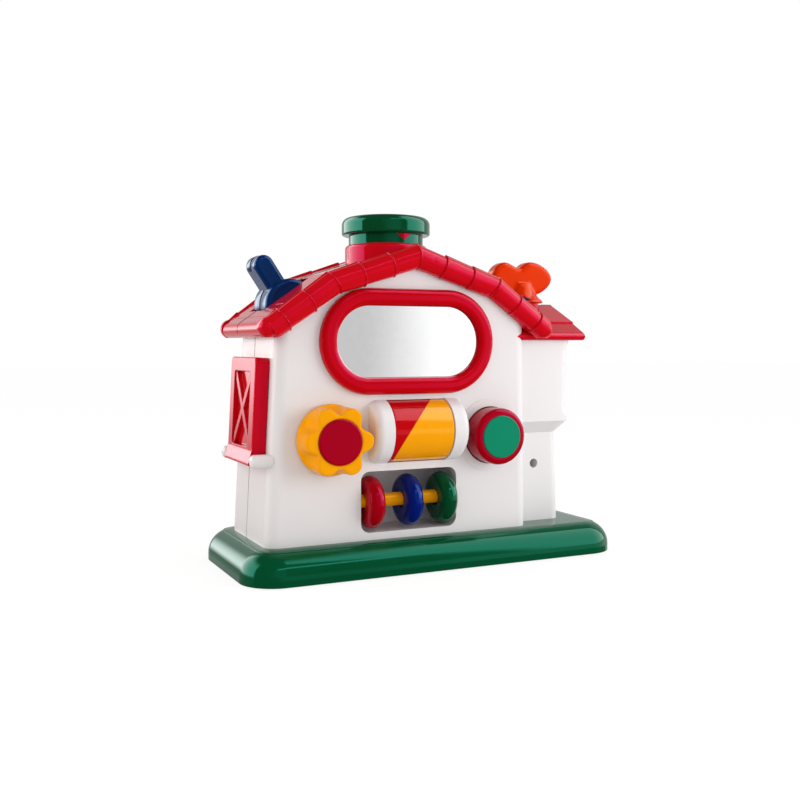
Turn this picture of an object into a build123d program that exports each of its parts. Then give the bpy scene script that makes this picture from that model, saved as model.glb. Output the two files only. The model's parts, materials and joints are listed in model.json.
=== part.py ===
from build123d import *
import math
import os

# Toddler activity house: a white two-shell house with a red roof on a green base tray,
# carrying a mirror, a turning star knob, a turning drum, a push button, three ring beads,
# a drop-down shutter, a swinging roof lever, a turning wing key and a press-down chimney.
# Millimetres. +Z up, -Y is the front of the house, origin at the middle of the footprint.

# ---------------------------------------------------------------- driving dimensions
# base tray
BASE_LENGTH = 290.0
BASE_WIDTH = 127.0
BASE_HEIGHT = 22.3
BASE_CORNER = 25.0
BASE_SHOULDER = 17.0
BASE_WALL = 2.6
BASE_LIFT = 0.8
FOOT_RADIUS = 7.0
FOOT_HEIGHT = 3.4
FOOT_INSET = 27.0
RIB_THICKNESS = 1.8
RIB_DEPTH = 12.0

# house walls
WALL = 2.5
FRONT_Y = -42.7
BACK_Y = 41.8
SEAM_Y = 4.0
LEFT_X = -127.5
LEFT_LEAN = 3.2
RIGHT_X = 74.9
RIGHT_LEAN = 1.0
HOUSE_CORNER = 9.0

# annex on the right, with an upper bay that stands out over its lower wall
ANNEX_FRONT_Y = -26.0
ANNEX_BACK_Y = 26.0
ANNEX_X = 115.2
ANNEX_LEAN = 2.7
ANNEX_CORNER = 8.0
ANNEX_SCREW_X = 90.5
ANNEX_SCREW_Z = 66.3
ANNEX_SCREW_WELL = 3.5
BAY_FRONT_Y = -36.0
BAY_BACK_Y = 36.0
BAY_X = 115.7
BAY_FOOT_Z = 89.8
BAY_SILL_Z = 99.0
BAY_SILL_HEIGHT = 9.0
BAY_SILL_BULGE = 2.6
BAY_CORNICE_HEIGHT = 8.0
BAY_CORNICE_FLARE = 2.8

# main roof, a gambrel with its ridge along Y
ROOF_X = -19.0
ROOF_APEX_Z = 224.9
ROOF_KNEE = 65.3
ROOF_UPPER_PITCH = 17.6
ROOF_LOWER_PITCH = 35.0
ROOF_EAVE_LEFT = 113.7
ROOF_EAVE_RIGHT = 110.5
ROOF_SKIN = 2.8
EAVE_THICK = 8.8
EAVE_NOSE = 6.0
EAVE_UNDER_NOSE = 5.4
FASCIA = 2.5
COURSE_STEP = 0.9
COURSE_GROOVE = 1.6
COURSE_RUN = 29.4
COURSE_EAVE = 7.0

# barrel-tile trim along both gables
TRIM_RISE = 0.4
TRIM_WIDTH = 15.4
TRIM_BULGE = 7.0
TRIM_LEDGE = 2.5
TRIM_SINK = 0.6
TILE_TAPER = 1.4
TILES_ABOVE_KNEE = 3
TILES_BELOW_KNEE = 3
LOWER_TILE = 21.7
TILE_EDGE = 0.5
TRIM_BALL = 7.0
TRIM_BALL_INSET = 6.4

# annex roof, with its ridge along X
ANNEX_RIDGE_Z = 188.4
ANNEX_EAVE_Z = 160.0
ANNEX_COURSE_RUN = 30.5
ANNEX_COURSE_FALL = 14.2
ANNEX_EAVE_RUN = 14.0
ANNEX_EAVE_FALL = 7.4
ANNEX_STEP = 1.2
ANNEX_VERGE_X = 125.8
ANNEX_NOSE = 2.7
ANNEX_TIP = 1.5
VERGE_ROUND = 2.2

# oval mirror
MIRROR_X = -24.3
MIRROR_Z = 158.8
MIRROR_LENGTH = 132.1
MIRROR_HEIGHT = 72.7
MIRROR_RIM = 12.0
MIRROR_RIM_RISE = 6.5
MIRROR_SPIGOT = 5.6
MIRROR_SPIGOT_FIT = 0.1
MIRROR_SPIGOT_DEPTH = 4.4
GLASS_THICK = 1.5
GLASS_RECESS = 5.0
GLASS_LAP = 3.2
BACKING_THICK = 1.6

# star knob
KNOB_X = -82.8
KNOB_Z = 92.8
KNOB_FLANGE = 24.4
KNOB_FLANGE_THICK = 3.2
KNOB_STAR_TIP = 24.9
KNOB_STAR_VALLEY = 18.4
KNOB_LOBES = 6
KNOB_LOBE_FLAT = 0.16
KNOB_LOBE_ROUND = 1.6
KNOB_REACH = 19.0
KNOB_GAP = 0.5
KNOB_SHAFT = 6.0
KNOB_CAP_RADIUS = 15.3
KNOB_CAP_SEAT = 2.0
KNOB_CAP_DOME = 1.4

# turning drum
DRUM_X = -18.8
DRUM_Y = -37.2
DRUM_Z = 97.0
DRUM_RADIUS = 22.0
DRUM_LENGTH = 45.4
DRUM_SKIN = 2.4
DRUM_SPLIT_TILT = 48.3
DRUM_SPLIT_TURN = 38.2
DRUM_GAP = 0.4
DRUM_AXLE = 2.0
CHEEK_WIDTH = 12.6
CHEEK_RISE = 0.6
CHEEK_ROUND = 5.5
CHEEK_EAR = 3.2

# push button
BUTTON_X = 41.3
BUTTON_Z = 91.4
BUTTON_RADIUS = 20.2
BUTTON_REACH = 17.2
BUTTON_TRAVEL = 8.0
BUTTON_GAP = 0.6
BUTTON_SKIN = 2.0
BUTTON_ROUND = 3.4
BUTTON_FLANGE = 22.6
BUTTON_DISC_RADIUS = 15.1
BUTTON_DISC_THICK = 1.6
BUTTON_RING = 26.5
BUTTON_RING_RISE = 0.6
CARRIER_PITCH = 27.5
CARRIER_THICK = 2.4

# bead window
WINDOW_X = -23.2
WINDOW_Z = 48.6
WINDOW_LENGTH = 74.0
WINDOW_HEIGHT = 42.4
WINDOW_CORNER = 6.5
WINDOW_DEPTH = 33.0
ROD_Y = -36.0
ROD_RADIUS = 4.8
BEAD_RING = 12.25
BEAD_TUBE = 6.15
BEAD_XS = {"bead_red": -50.8, "bead_blue": -21.8, "bead_green": 5.1}

# chimney
CHIMNEY_X = -20.0
CHIMNEY_BASE = 30.0
CHIMNEY_BASE_Z = 229.0
CHIMNEY_BASE_ROUND = 3.0
CHIMNEY_NECK = 27.2
CHIMNEY_GAP = 0.5
CHIMNEY_CAP = 32.3
CHIMNEY_CAP_Z = 236.0
CHIMNEY_CAP_HEIGHT = 12.9
CHIMNEY_CROWN = 5.2
CHIMNEY_BRIM = 1.5
CHIMNEY_TRAVEL = 6.5
CHIMNEY_SKIN = 2.2
CHIMNEY_WELL_Z = 206.0
CHIMNEY_STEM = 5.0
POINTER_WIDTH = 11.4
POINTER_HEIGHT = 4.6
POINTER_SHIFT = 2.0
POINTER_INSET = 0.8
POINTER_PROUD = 0.3

# roof lever
LEVER_X = -98.2
LEVER_Z = 184.1
LEVER_HUB = 18.3
LEVER_HUB_THICK = 31.0
LEVER_HANDLE = 7.1
LEVER_HANDLE_THICK = 24.0
LEVER_TIP_X = -116.0
LEVER_TIP_Z = 211.1
LEVER_ROUND = 3.5
LEVER_AXLE = 2.5
LEVER_SIDE_GAP = 0.6
LEVER_SLOT_X = -102.5
LEVER_SLOT_HALF = 19.9
LEVER_EAR = 3.0

# wing key on the annex ridge
KEY_X = 95.4
KEY_SEAT_Z = 188.8
KEY_GAP = 0.3
KEY_FLANGE = 18.4
KEY_NECK = 9.0
KEY_CONE_HEIGHT = 15.5
KEY_LOBE = 11.8
KEY_LOBE_SPREAD = 15.5
KEY_LOBE_Z = 208.7
KEY_NOTCH_Z = 218.0
KEY_PLATE = 13.0
KEY_ROUND = 3.6
KEY_SHAFT = 5.0
KEY_SKIN = 2.2
KEY_POINTER = 9.0
KEY_POINTER_SHIFT = 8.0
KEY_SEAT_RADIUS = 15.0

# shutter on the left wall
SHUTTER_Y = -2.7
SHUTTER_WIDTH = 57.4
SHUTTER_HEIGHT = 71.9
SHUTTER_THICK = 9.6
SHUTTER_SKIN = 2.2
SHUTTER_PIN_Z = 80.0
SHUTTER_DROP = 3.6
SHUTTER_LIP = 1.8
SHUTTER_POCKET = 3.0
SHUTTER_BRACE_SINK = 0.8
SHUTTER_PIN = 1.5
SHUTTER_STAND = 5.2
SHUTTER_CORNER = 4.0
SHUTTER_FRAME = 9.6
SHUTTER_RECESS = 3.6
SHUTTER_BRACE = 4.6
SHUTTER_SIDE_GAP = 0.6
LUG_RADIUS = 4.5
LUG_REACH = 12.4

# fasteners, clearances and small works
SCREW_RADIUS = 1.5
SCREW_HEAD = 3.2
SCREW_HEAD_THICK = 2.2
SCREW_FIT = 0.05
BOSS_RADIUS = 4.6
SCREW_SEAT = 5.0
BASE_SCREW_Z = 10.0
POST_HEIGHT = 16.0
SCREW_LENGTH = 16.0
SMALL_SCREW = 7.0
RUNNING_FIT = 0.06
SLIDE_FIT = 0.3
RATCHET_RADIUS = 10.0
RATCHET_TEETH = 12
RATCHET_THICK = 4.0
RATCHET_NOTCH = 1.6
RETAINER_THICK = 2.5
COIL_WIRE = 0.7
COIL_RADIUS = 10.0
COIL_STEPS = 10
BUTTON_COILS = 4
CHIMNEY_COIL = 8.0
CHIMNEY_COILS = 4
SMALL_SCREW_RADIUS = 1.1
CLICK_THICK = 1.0
CLICK_REACH = 16.0

# ---------------------------------------------------------------- derived places
UPPER_TAN = math.tan(math.radians(ROOF_UPPER_PITCH))
LOWER_TAN = math.tan(math.radians(ROOF_LOWER_PITCH))
UPPER_COS = math.cos(math.radians(ROOF_UPPER_PITCH))
LOWER_COS = math.cos(math.radians(ROOF_LOWER_PITCH))
KNEE_Z = ROOF_APEX_Z - ROOF_KNEE * UPPER_TAN
EAVE_Z = KNEE_Z - (ROOF_EAVE_LEFT - ROOF_KNEE) * LOWER_TAN - EAVE_THICK
KNEE_DRIFT = (1 / UPPER_COS - 1 / LOWER_COS) / (LOWER_TAN - UPPER_TAN)
ROOF_FRONT_Y = FRONT_Y - FASCIA
ROOF_BACK_Y = BACK_Y + FASCIA
SKY = 300.0
PLATEAU = BASE_HEIGHT


# ---------------------------------------------------------------- small helpers
def box(x0, x1, y0, y1, z0, z1):
    """A block between two corners."""
    centre = Pos((x0 + x1) / 2, (y0 + y1) / 2, (z0 + z1) / 2)
    return centre * Box(x1 - x0, y1 - y0, z1 - z0)


def rod_x(radius, y, z, x0, x1):
    return Pos((x0 + x1) / 2, y, z) * Rot(0, 90, 0) * Cylinder(radius, x1 - x0)


def rod_y(radius, x, z, y0, y1):
    return Pos(x, (y0 + y1) / 2, z) * Rot(90, 0, 0) * Cylinder(radius, y1 - y0)


def rod_z(radius, x, y, z0, z1):
    return Pos(x, y, (z0 + z1) / 2) * Cylinder(radius, z1 - z0)


def facade_plane(x, z, y):
    """Sketch plane on the facade: sketch X is the house's X, its normal points out of the front."""
    return Plane(origin=(x, y, z), x_dir=(1, 0, 0), z_dir=(0, -1, 0))


def hull_plate(circles, y0, y1):
    """A plate between two depths whose outline wraps round circles given as X, Z and radius."""
    rims = [CenterArc((x, z), radius, 0, 360) for x, z, radius in circles]
    edges = [edge for rim in rims for edge in rim.edges()]
    outline = make_hull(edges) if len(circles) > 1 else make_face(edges)
    return extrude(facade_plane(0, 0, y1) * outline, amount=y1 - y0)


def prism_xz(points, y0, y1):
    """A closed outline in X and Z, carried from y0 to y1."""
    outline = Polyline([(x, y0, z) for x, z in points], close=True)
    return extrude(make_face(outline), amount=y1 - y0, dir=(0, 1, 0))


def prism_yz(points, x0, x1):
    outline = Polyline([(x0, y, z) for y, z in points], close=True)
    return extrude(make_face(outline), amount=x1 - x0, dir=(1, 0, 0))


def edges_in(shape, x0, x1, y0, y1, z0, z1):
    """The edges whose middle lies in a block."""
    inside = []
    for edge in shape.edges():
        middle = edge @ 0.5
        if x0 <= middle.X <= x1 and y0 <= middle.Y <= y1 and z0 <= middle.Z <= z1:
            inside.append(edge)
    return inside


def front_half(shape):
    return shape & box(-SKY, SKY, -SKY, SEAM_Y, -SKY, SKY * 2)


def back_half(shape):
    return shape & box(-SKY, SKY, SEAM_Y, SKY, -SKY, SKY * 2)


def as_solids(*shapes):
    """Separate solids kept together in one node."""
    solids = []
    for shape in shapes:
        solids.extend(shape.solids())
    return Compound(children=solids)


def screw(seat, direction, length, head_width=2 * SCREW_HEAD, radius=SCREW_RADIUS):
    """A pan-head screw: seat is under its head, direction points the way it is driven."""
    plane = Plane(origin=seat, z_dir=direction)
    shank = plane * Pos(0, 0, length / 2) * Cylinder(radius, length)
    head = plane * Pos(0, 0, -SCREW_HEAD_THICK / 2) * Cylinder(head_width / 2, SCREW_HEAD_THICK)
    head = fillet(head.edges().sort_by(lambda e: -(plane.to_local_coords(e @ 0.5).Z))[-1], 0.7)
    drive = 1.0
    slot = plane * Pos(0, 0, -SCREW_HEAD_THICK) * Box(radius * 2.6, 0.8, drive)
    cross = plane * Pos(0, 0, -SCREW_HEAD_THICK) * Box(0.8, radius * 2.6, drive)
    return shank + head - slot - cross


# ---------------------------------------------------------------- roof outline
def slope_z(offset, depth=0.0):
    """Height of the roof at a distance from the ridge, measured depth below its surface."""
    knee = ROOF_KNEE + KNEE_DRIFT * depth
    if abs(offset) <= knee:
        return ROOF_APEX_Z - depth / UPPER_COS - abs(offset) * UPPER_TAN
    return KNEE_Z - depth / LOWER_COS - (abs(offset) - ROOF_KNEE) * LOWER_TAN


def roof_eave(side):
    """How far the eave stands out from the ridge, side -1 for the left and 1 for the right."""
    return ROOF_EAVE_LEFT if side < 0 else ROOF_EAVE_RIGHT


def roof_side(side, depth, bottom):
    """Half of the gambrel outline from below its eave up to the knee, as X and Z."""
    eave = roof_eave(side)
    knee = ROOF_KNEE + KNEE_DRIFT * depth
    half = [(eave, bottom), (eave, slope_z(eave, depth)), (knee, slope_z(knee, depth))]
    return [(ROOF_X + side * x, z) for x, z in half]


def roof_outline(depth, bottom):
    """Gambrel outline, depth below the roof surface, from eave to eave and closed at bottom."""
    ridge = (ROOF_X, slope_z(0, depth))
    return roof_side(1, depth, bottom) + [ridge] + list(reversed(roof_side(-1, depth, bottom)))


# ---------------------------------------------------------------- house form
def main_block(inset, top):
    """The house's main volume, its side walls leaning in, drawn inset from its outside."""
    lean_left = math.tan(math.radians(LEFT_LEAN)) * (SKY - PLATEAU)
    lean_right = math.tan(math.radians(RIGHT_LEAN)) * (SKY - PLATEAU)
    foot = PLATEAU if top else PLATEAU - 1
    points = [
        (LEFT_X + inset, foot),
        (RIGHT_X - inset, foot),
        (RIGHT_X - inset - lean_right, SKY),
        (LEFT_X + inset + lean_left, SKY),
    ]
    block = prism_xz(points, FRONT_Y + inset, BACK_Y - inset)
    corners = edges_in(block, -SKY, LEFT_X + 40, FRONT_Y - 1, BACK_Y + 1, 60, 250)
    corners += edges_in(block, RIGHT_X - 20, RIGHT_X + 20, FRONT_Y - 1, FRONT_Y + inset + 1, 60, 250)
    block = fillet(corners, HOUSE_CORNER - inset)
    if top:
        block = block & prism_xz(roof_outline(ROOF_SKIN, 0), -SKY, SKY)
    return block


def annex_section(z, right, front, back, inset):
    """A rounded rectangle from inside the main block out to the annex's right wall."""
    left = RIGHT_X - 30
    width = right - inset - left
    depth = back - front - 2 * inset
    middle = (left + (right - inset)) / 2
    plane = Plane(origin=(middle, (front + back) / 2, z))
    return plane * RectangleRounded(width, depth, ANNEX_CORNER - inset)


def annex_block(inset, z_low, z_high):
    """The annex with its overhanging bay, as a stack of straight-sided stretches."""
    fall = math.tan(math.radians(ANNEX_LEAN))
    foot_x = ANNEX_X - fall * (BAY_FOOT_Z - PLATEAU)
    lower = (ANNEX_FRONT_Y, ANNEX_BACK_Y)
    upper = (BAY_FRONT_Y, BAY_BACK_Y)
    cornice_z = ANNEX_EAVE_Z - BAY_CORNICE_HEIGHT
    stack = [
        (z_low, ANNEX_X, lower),
        (BAY_FOOT_Z, foot_x, lower),
        (BAY_SILL_Z, BAY_X + BAY_SILL_BULGE * 0.6, upper),
        (BAY_SILL_Z + BAY_SILL_HEIGHT * 0.5, BAY_X + BAY_SILL_BULGE, upper),
        (BAY_SILL_Z + BAY_SILL_HEIGHT, BAY_X, upper),
        (cornice_z, BAY_X, upper),
        (z_high, BAY_X + BAY_CORNICE_FLARE, upper),
    ]
    sections = [annex_section(z, x, ys[0], ys[1], inset) for z, x, ys in stack]
    return loft(sections, ruled=True)


def house_form():
    return main_block(0, True) + annex_block(0, PLATEAU, ANNEX_EAVE_Z)


def house_hollow():
    return main_block(WALL, False) + annex_block(WALL, PLATEAU - 1, ANNEX_EAVE_Z + 1)


def wall_x(z):
    """Outside of the leaning left wall at a height."""
    return LEFT_X + math.tan(math.radians(LEFT_LEAN)) * (z - PLATEAU)


def knob_back():
    """Inner face of the facade where the knob's ratchet runs."""
    return FRONT_Y + WALL + KNOB_GAP


def carrier_y():
    """Front face of the plate that carries the button's spring."""
    return FRONT_Y + WALL + 2 * BUTTON_SKIN + BUTTON_TRAVEL + 2.5


def make_click_spring():
    """A flat leaf that snaps over the ratchet's teeth."""
    z = KNOB_Z + RATCHET_RADIUS + 1.2
    start = KNOB_X - CLICK_REACH - 3
    low = knob_back() + 0.4
    high = knob_back() + RATCHET_THICK - 0.4
    return box(start, KNOB_X + 4, low, high, z, z + CLICK_THICK)


# ---------------------------------------------------------------- features shared by the shells
def back_screw_places():
    """Shell screws driven from the back, as X and Z."""
    low = PLATEAU + 15
    high = EAVE_Z - 13
    gable = EAVE_Z + 36
    corners = [(-110, low), (-108, high), (60, low), (61, high), (98, high - 8)]
    return corners + [(ROOF_X - 30, gable), (ROOF_X + 30, gable)]


def base_screw_places():
    """Screws that hold the shells down on the tray, as X and Y."""
    return [(-92, -32), (46, -32), (-92, 31), (46, 31)]


def foot_post(x, y):
    """A post that takes a base screw, tied to the nearer wall by a web."""
    post = rod_z(BOSS_RADIUS, x, y, PLATEAU, PLATEAU + POST_HEIGHT)
    wall = FRONT_Y + WALL / 2 if y < 0 else BACK_Y - WALL / 2
    web = box(x - WALL / 2, x + WALL / 2, min(y, wall), max(y, wall), PLATEAU, PLATEAU + POST_HEIGHT)
    pilot = rod_z(SCREW_RADIUS + SCREW_FIT, x, y, PLATEAU - 1, PLATEAU + POST_HEIGHT - WALL)
    return post + web, pilot


def lug_places():
    reach = SHUTTER_WIDTH / 2 + SHUTTER_SIDE_GAP + LUG_RADIUS
    return SHUTTER_Y - reach, SHUTTER_Y + reach


def pin_x():
    return wall_x(SHUTTER_PIN_Z) - SHUTTER_STAND


def shutter_lug(y):
    """A rounded lug on the left wall that holds one end of the shutter's pin."""
    root = wall_x(SHUTTER_PIN_Z) + WALL
    tip = wall_x(SHUTTER_PIN_Z) - LUG_REACH
    lug = rod_x(LUG_RADIUS, y, SHUTTER_PIN_Z, tip, root)
    return fillet(edges_in(lug, tip - 0.1, tip + 0.1, -SKY, SKY, 0, SKY), LUG_RADIUS * 0.7)


# ---------------------------------------------------------------- front shell
def window_plug(grow, y0, y1):
    """The bead window's rounded opening, grown all round, between two depths."""
    plane = facade_plane(WINDOW_X, WINDOW_Z, y1)
    outline = RectangleRounded(WINDOW_LENGTH + 2 * grow, WINDOW_HEIGHT + 2 * grow, WINDOW_CORNER + grow)
    return extrude(plane * outline, amount=y1 - y0)


def bead_pocket():
    """The closed box behind the bead window."""
    back = FRONT_Y + WINDOW_DEPTH
    return window_plug(WALL, FRONT_Y + WALL - 0.1, back + WALL)


def drum_half():
    return DRUM_LENGTH / 2 + DRUM_GAP


def drum_cheek(side):
    """One of the two rounded cheeks that hold the drum."""
    inner = DRUM_X + side * drum_half()
    outer = inner + side * CHEEK_WIDTH
    cheek = rod_x(DRUM_RADIUS + CHEEK_RISE, DRUM_Y, DRUM_Z, min(inner, outer), max(inner, outer))
    outer_edge = edges_in(cheek, outer - 0.1, outer + 0.1, -SKY, SKY, -SKY, SKY)
    cheek = fillet(outer_edge, CHEEK_ROUND)
    return cheek & box(-SKY, SKY, -SKY, FRONT_Y + WALL, 0, SKY)


def drum_bracket(side):
    """The web behind a cheek that carries one end of the drum's axle."""
    inner = DRUM_X + side * drum_half()
    outer = inner + side * CHEEK_EAR
    x0, x1 = min(inner, outer), max(inner, outer)
    reach = DRUM_AXLE * 3.5
    arm = box(x0, x1, FRONT_Y + WALL - 0.5, DRUM_Y, DRUM_Z - reach, DRUM_Z + reach)
    return arm + rod_x(reach, DRUM_Y, DRUM_Z, x0, x1)


def stadium(grow, y0, y1):
    """The mirror's long oval, grown from its outer edge, between two depths."""
    plane = facade_plane(MIRROR_X, MIRROR_Z, y1)
    return extrude(plane * SlotOverall(MIRROR_LENGTH + 2 * grow, MIRROR_HEIGHT + 2 * grow), amount=y1 - y0)


def carrier_places():
    """Where the button's carrier is screwed on, as X and Z."""
    spots = []
    for angle in (90, 210, 330):
        turn = math.radians(angle)
        spots.append((BUTTON_X + CARRIER_PITCH * math.cos(turn), BUTTON_Z + CARRIER_PITCH * math.sin(turn)))
    return spots


def annex_screw_well():
    """The open screw hole low on the front of the annex."""
    x, z = ANNEX_SCREW_X, ANNEX_SCREW_Z
    well = rod_y(ANNEX_SCREW_WELL, x, z, ANNEX_FRONT_Y - 1, SEAM_Y - SCREW_SEAT)
    return well + rod_y(SCREW_RADIUS + SCREW_FIT, x, z, SEAM_Y - SCREW_SEAT - 1, SEAM_Y + 1)


def click_post():
    """A block behind the facade that grips the knob's click spring."""
    z = KNOB_Z + RATCHET_RADIUS + 1.2
    x = KNOB_X - CLICK_REACH
    return box(x - 4, x + 4, FRONT_Y + WALL - 0.2, knob_back() + RATCHET_THICK, z - 3, z + CLICK_THICK + 3)


def make_front_shell():
    shell = front_half(house_form() - house_hollow())
    shell += bead_pocket() - window_plug(0, FRONT_Y - 1, FRONT_Y + WINDOW_DEPTH)
    for x, z in back_screw_places():
        start = BAY_FRONT_Y if x > RIGHT_X else FRONT_Y
        shell += rod_y(BOSS_RADIUS, x, z, start + WALL - 0.3, SEAM_Y)
    well_start = ANNEX_FRONT_Y + WALL - 0.3
    shell += rod_y(ANNEX_SCREW_WELL + WALL / 2, ANNEX_SCREW_X, ANNEX_SCREW_Z, well_start, SEAM_Y)
    for side in (-1, 1):
        shell += drum_cheek(side)
        shell += drum_bracket(side)
    shell += rod_y(BUTTON_RING, BUTTON_X, BUTTON_Z, FRONT_Y - BUTTON_RING_RISE, FRONT_Y + 1)
    for x, z in carrier_places():
        shell += rod_y(BOSS_RADIUS - 1, x, z, FRONT_Y + WALL - 0.3, carrier_y())
    front_lug = lug_places()[0]
    shell += shutter_lug(front_lug)
    shell += click_post()
    for x, y in base_screw_places():
        if y < 0:
            post, pilot = foot_post(x, y)
            shell = shell + post - pilot

    shell -= window_plug(0, FRONT_Y - 2, FRONT_Y + WALL + 1)
    shell -= stadium(MIRROR_SPIGOT_FIT - MIRROR_RIM + MIRROR_SPIGOT, FRONT_Y - 1, FRONT_Y + WALL + 1)
    shell -= rod_y(BUTTON_RADIUS + BUTTON_GAP, BUTTON_X, BUTTON_Z, FRONT_Y - 5, FRONT_Y + WALL + 1)
    shell -= rod_y(KNOB_SHAFT + RUNNING_FIT, KNOB_X, KNOB_Z, FRONT_Y - 5, FRONT_Y + WALL + 1)
    shell -= rod_x(DRUM_RADIUS + DRUM_GAP, DRUM_Y, DRUM_Z, DRUM_X - drum_half(), DRUM_X + drum_half())
    reach = drum_half() + CHEEK_EAR - 0.8
    shell -= rod_x(DRUM_AXLE + SCREW_FIT, DRUM_Y, DRUM_Z, DRUM_X - reach, DRUM_X + reach)
    ends = WINDOW_LENGTH / 2 + WALL + 1
    shell -= rod_x(ROD_RADIUS + SCREW_FIT, ROD_Y, WINDOW_Z, WINDOW_X - ends, WINDOW_X + ends)
    shell -= rod_y(SHUTTER_PIN + SCREW_FIT, pin_x(), SHUTTER_PIN_Z, front_lug - 2, SEAM_Y)
    leaf = make_click_spring().bounding_box()
    post_end = click_post().bounding_box().max.X + 1
    shell -= box(leaf.min.X - 1, post_end, leaf.min.Y, SEAM_Y, leaf.min.Z, leaf.min.Z + CLICK_THICK)
    for x, z in back_screw_places():
        shell -= rod_y(SCREW_RADIUS + SCREW_FIT, x, z, SEAM_Y - SCREW_LENGTH + SCREW_SEAT - 1, SEAM_Y + 1)
    for x, z in carrier_places():
        shell -= rod_y(SMALL_SCREW_RADIUS + SCREW_FIT, x, z, carrier_y() - SMALL_SCREW, carrier_y() + 1)
    return shell - annex_screw_well()


# ---------------------------------------------------------------- back shell
def make_back_shell():
    shell = back_half(house_form() - house_hollow())
    for x, z in back_screw_places():
        end = BAY_BACK_Y if x > RIGHT_X else BACK_Y
        shell += rod_y(BOSS_RADIUS + 0.6, x, z, SEAM_Y, end - WALL + 0.3)
    shell += rod_y(BOSS_RADIUS, ANNEX_SCREW_X, ANNEX_SCREW_Z, SEAM_Y, ANNEX_BACK_Y - WALL + 0.3)
    back_lug = lug_places()[1]
    shell += shutter_lug(back_lug)
    for x, y in base_screw_places():
        if y > 0:
            post, pilot = foot_post(x, y)
            shell = shell + post - pilot
    for x, z in back_screw_places():
        shell -= rod_y(SCREW_HEAD + 0.4, x, z, SEAM_Y + SCREW_SEAT, BACK_Y + 1)
        shell -= rod_y(SCREW_RADIUS + SCREW_FIT, x, z, SEAM_Y - 1, SEAM_Y + SCREW_SEAT + 1)
    depth = SCREW_LENGTH - SCREW_SEAT + 1
    shell -= rod_y(SCREW_RADIUS + SCREW_FIT, ANNEX_SCREW_X, ANNEX_SCREW_Z, SEAM_Y - 1, SEAM_Y + depth)
    return shell - rod_y(SHUTTER_PIN + SCREW_FIT, pin_x(), SHUTTER_PIN_Z, SEAM_Y, back_lug + 2)


# ---------------------------------------------------------------- base tray
def tray_form(inset, bottom, top):
    """The tray's rounded slab, its top edge rolled over, drawn inset from its outside."""
    outline = RectangleRounded(BASE_LENGTH - 2 * inset, BASE_WIDTH - 2 * inset, BASE_CORNER - inset)
    slab = Pos(0, 0, bottom) * extrude(outline, amount=top - bottom)
    rim = slab.faces().sort_by(Axis.Z)[-1].edges()
    return fillet(rim, BASE_SHOULDER - inset)


def foot_places():
    x = BASE_LENGTH / 2 - FOOT_INSET
    y = BASE_WIDTH / 2 - FOOT_INSET
    return [(-x, -y), (x, -y), (-x, y), (x, y)]


def make_base_tray():
    hollow = tray_form(BASE_WALL, BASE_LIFT - 1, BASE_HEIGHT - BASE_WALL)
    tray = tray_form(0, BASE_LIFT, BASE_HEIGHT) - hollow
    ceiling = BASE_HEIGHT - BASE_WALL / 2
    low = BASE_HEIGHT - BASE_WALL - RIB_DEPTH
    half_rib = RIB_THICKNESS / 2
    for n in range(-2, 3):
        x = n * BASE_LENGTH / 6
        rib = box(x - half_rib, x + half_rib, -BASE_WIDTH / 2, BASE_WIDTH / 2, low, ceiling)
        tray += rib & hollow
    for y in (-BASE_WIDTH / 6, BASE_WIDTH / 6):
        rib = box(-BASE_LENGTH / 2, BASE_LENGTH / 2, y - half_rib, y + half_rib, low, ceiling)
        tray += rib & hollow
    for x, y in foot_places():
        tray += rod_z(FOOT_RADIUS + WALL, x, y, BASE_LIFT, ceiling)
        tray -= rod_z(FOOT_RADIUS + SCREW_FIT, x, y, BASE_LIFT - 1, FOOT_HEIGHT)
    for x, y in base_screw_places():
        tray += rod_z(BOSS_RADIUS + 0.6, x, y, BASE_SCREW_Z, ceiling)
        tray -= rod_z(SCREW_HEAD + 0.6, x, y, 0, BASE_SCREW_Z)
        tray -= rod_z(SCREW_RADIUS + SCREW_FIT, x, y, 0, BASE_HEIGHT + 1)
    return tray


def make_rubber_feet():
    feet = []
    for x, y in foot_places():
        foot = rod_z(FOOT_RADIUS, x, y, 0, FOOT_HEIGHT)
        feet.append(fillet(foot.edges().sort_by(Axis.Z)[0], 0.5))
    return as_solids(*feet)


def make_base_screws():
    up = (0, 0, 1)
    length = BASE_HEIGHT - BASE_SCREW_Z + POST_HEIGHT - WALL - 1
    return as_solids(*[screw((x, y, BASE_SCREW_Z), up, length) for x, y in base_screw_places()])


def make_shell_screws():
    forward = (0, -1, 0)
    seat = SEAM_Y + SCREW_SEAT
    return as_solids(*[screw((x, seat, z), forward, SCREW_LENGTH) for x, z in back_screw_places()])


def make_annex_screw():
    return screw((ANNEX_SCREW_X, SEAM_Y - SCREW_SEAT, ANNEX_SCREW_Z), (0, 1, 0), SCREW_LENGTH)


# ---------------------------------------------------------------- roof
def main_roof_form():
    """The main roof as a closed prism with rolled eaves."""
    form = prism_xz(roof_outline(0, EAVE_Z), ROOF_FRONT_Y, ROOF_BACK_Y)
    for side in (-1, 1):
        x = ROOF_X + side * roof_eave(side)
        edge_z = slope_z(roof_eave(side))
        form = fillet(edges_in(form, x - 1, x + 1, -9, 9, edge_z - 1, edge_z + 1), EAVE_NOSE)
        form = fillet(edges_in(form, x - 1, x + 1, -9, 9, EAVE_Z - 1, EAVE_Z + 1), EAVE_UNDER_NOSE)
    return form


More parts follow.
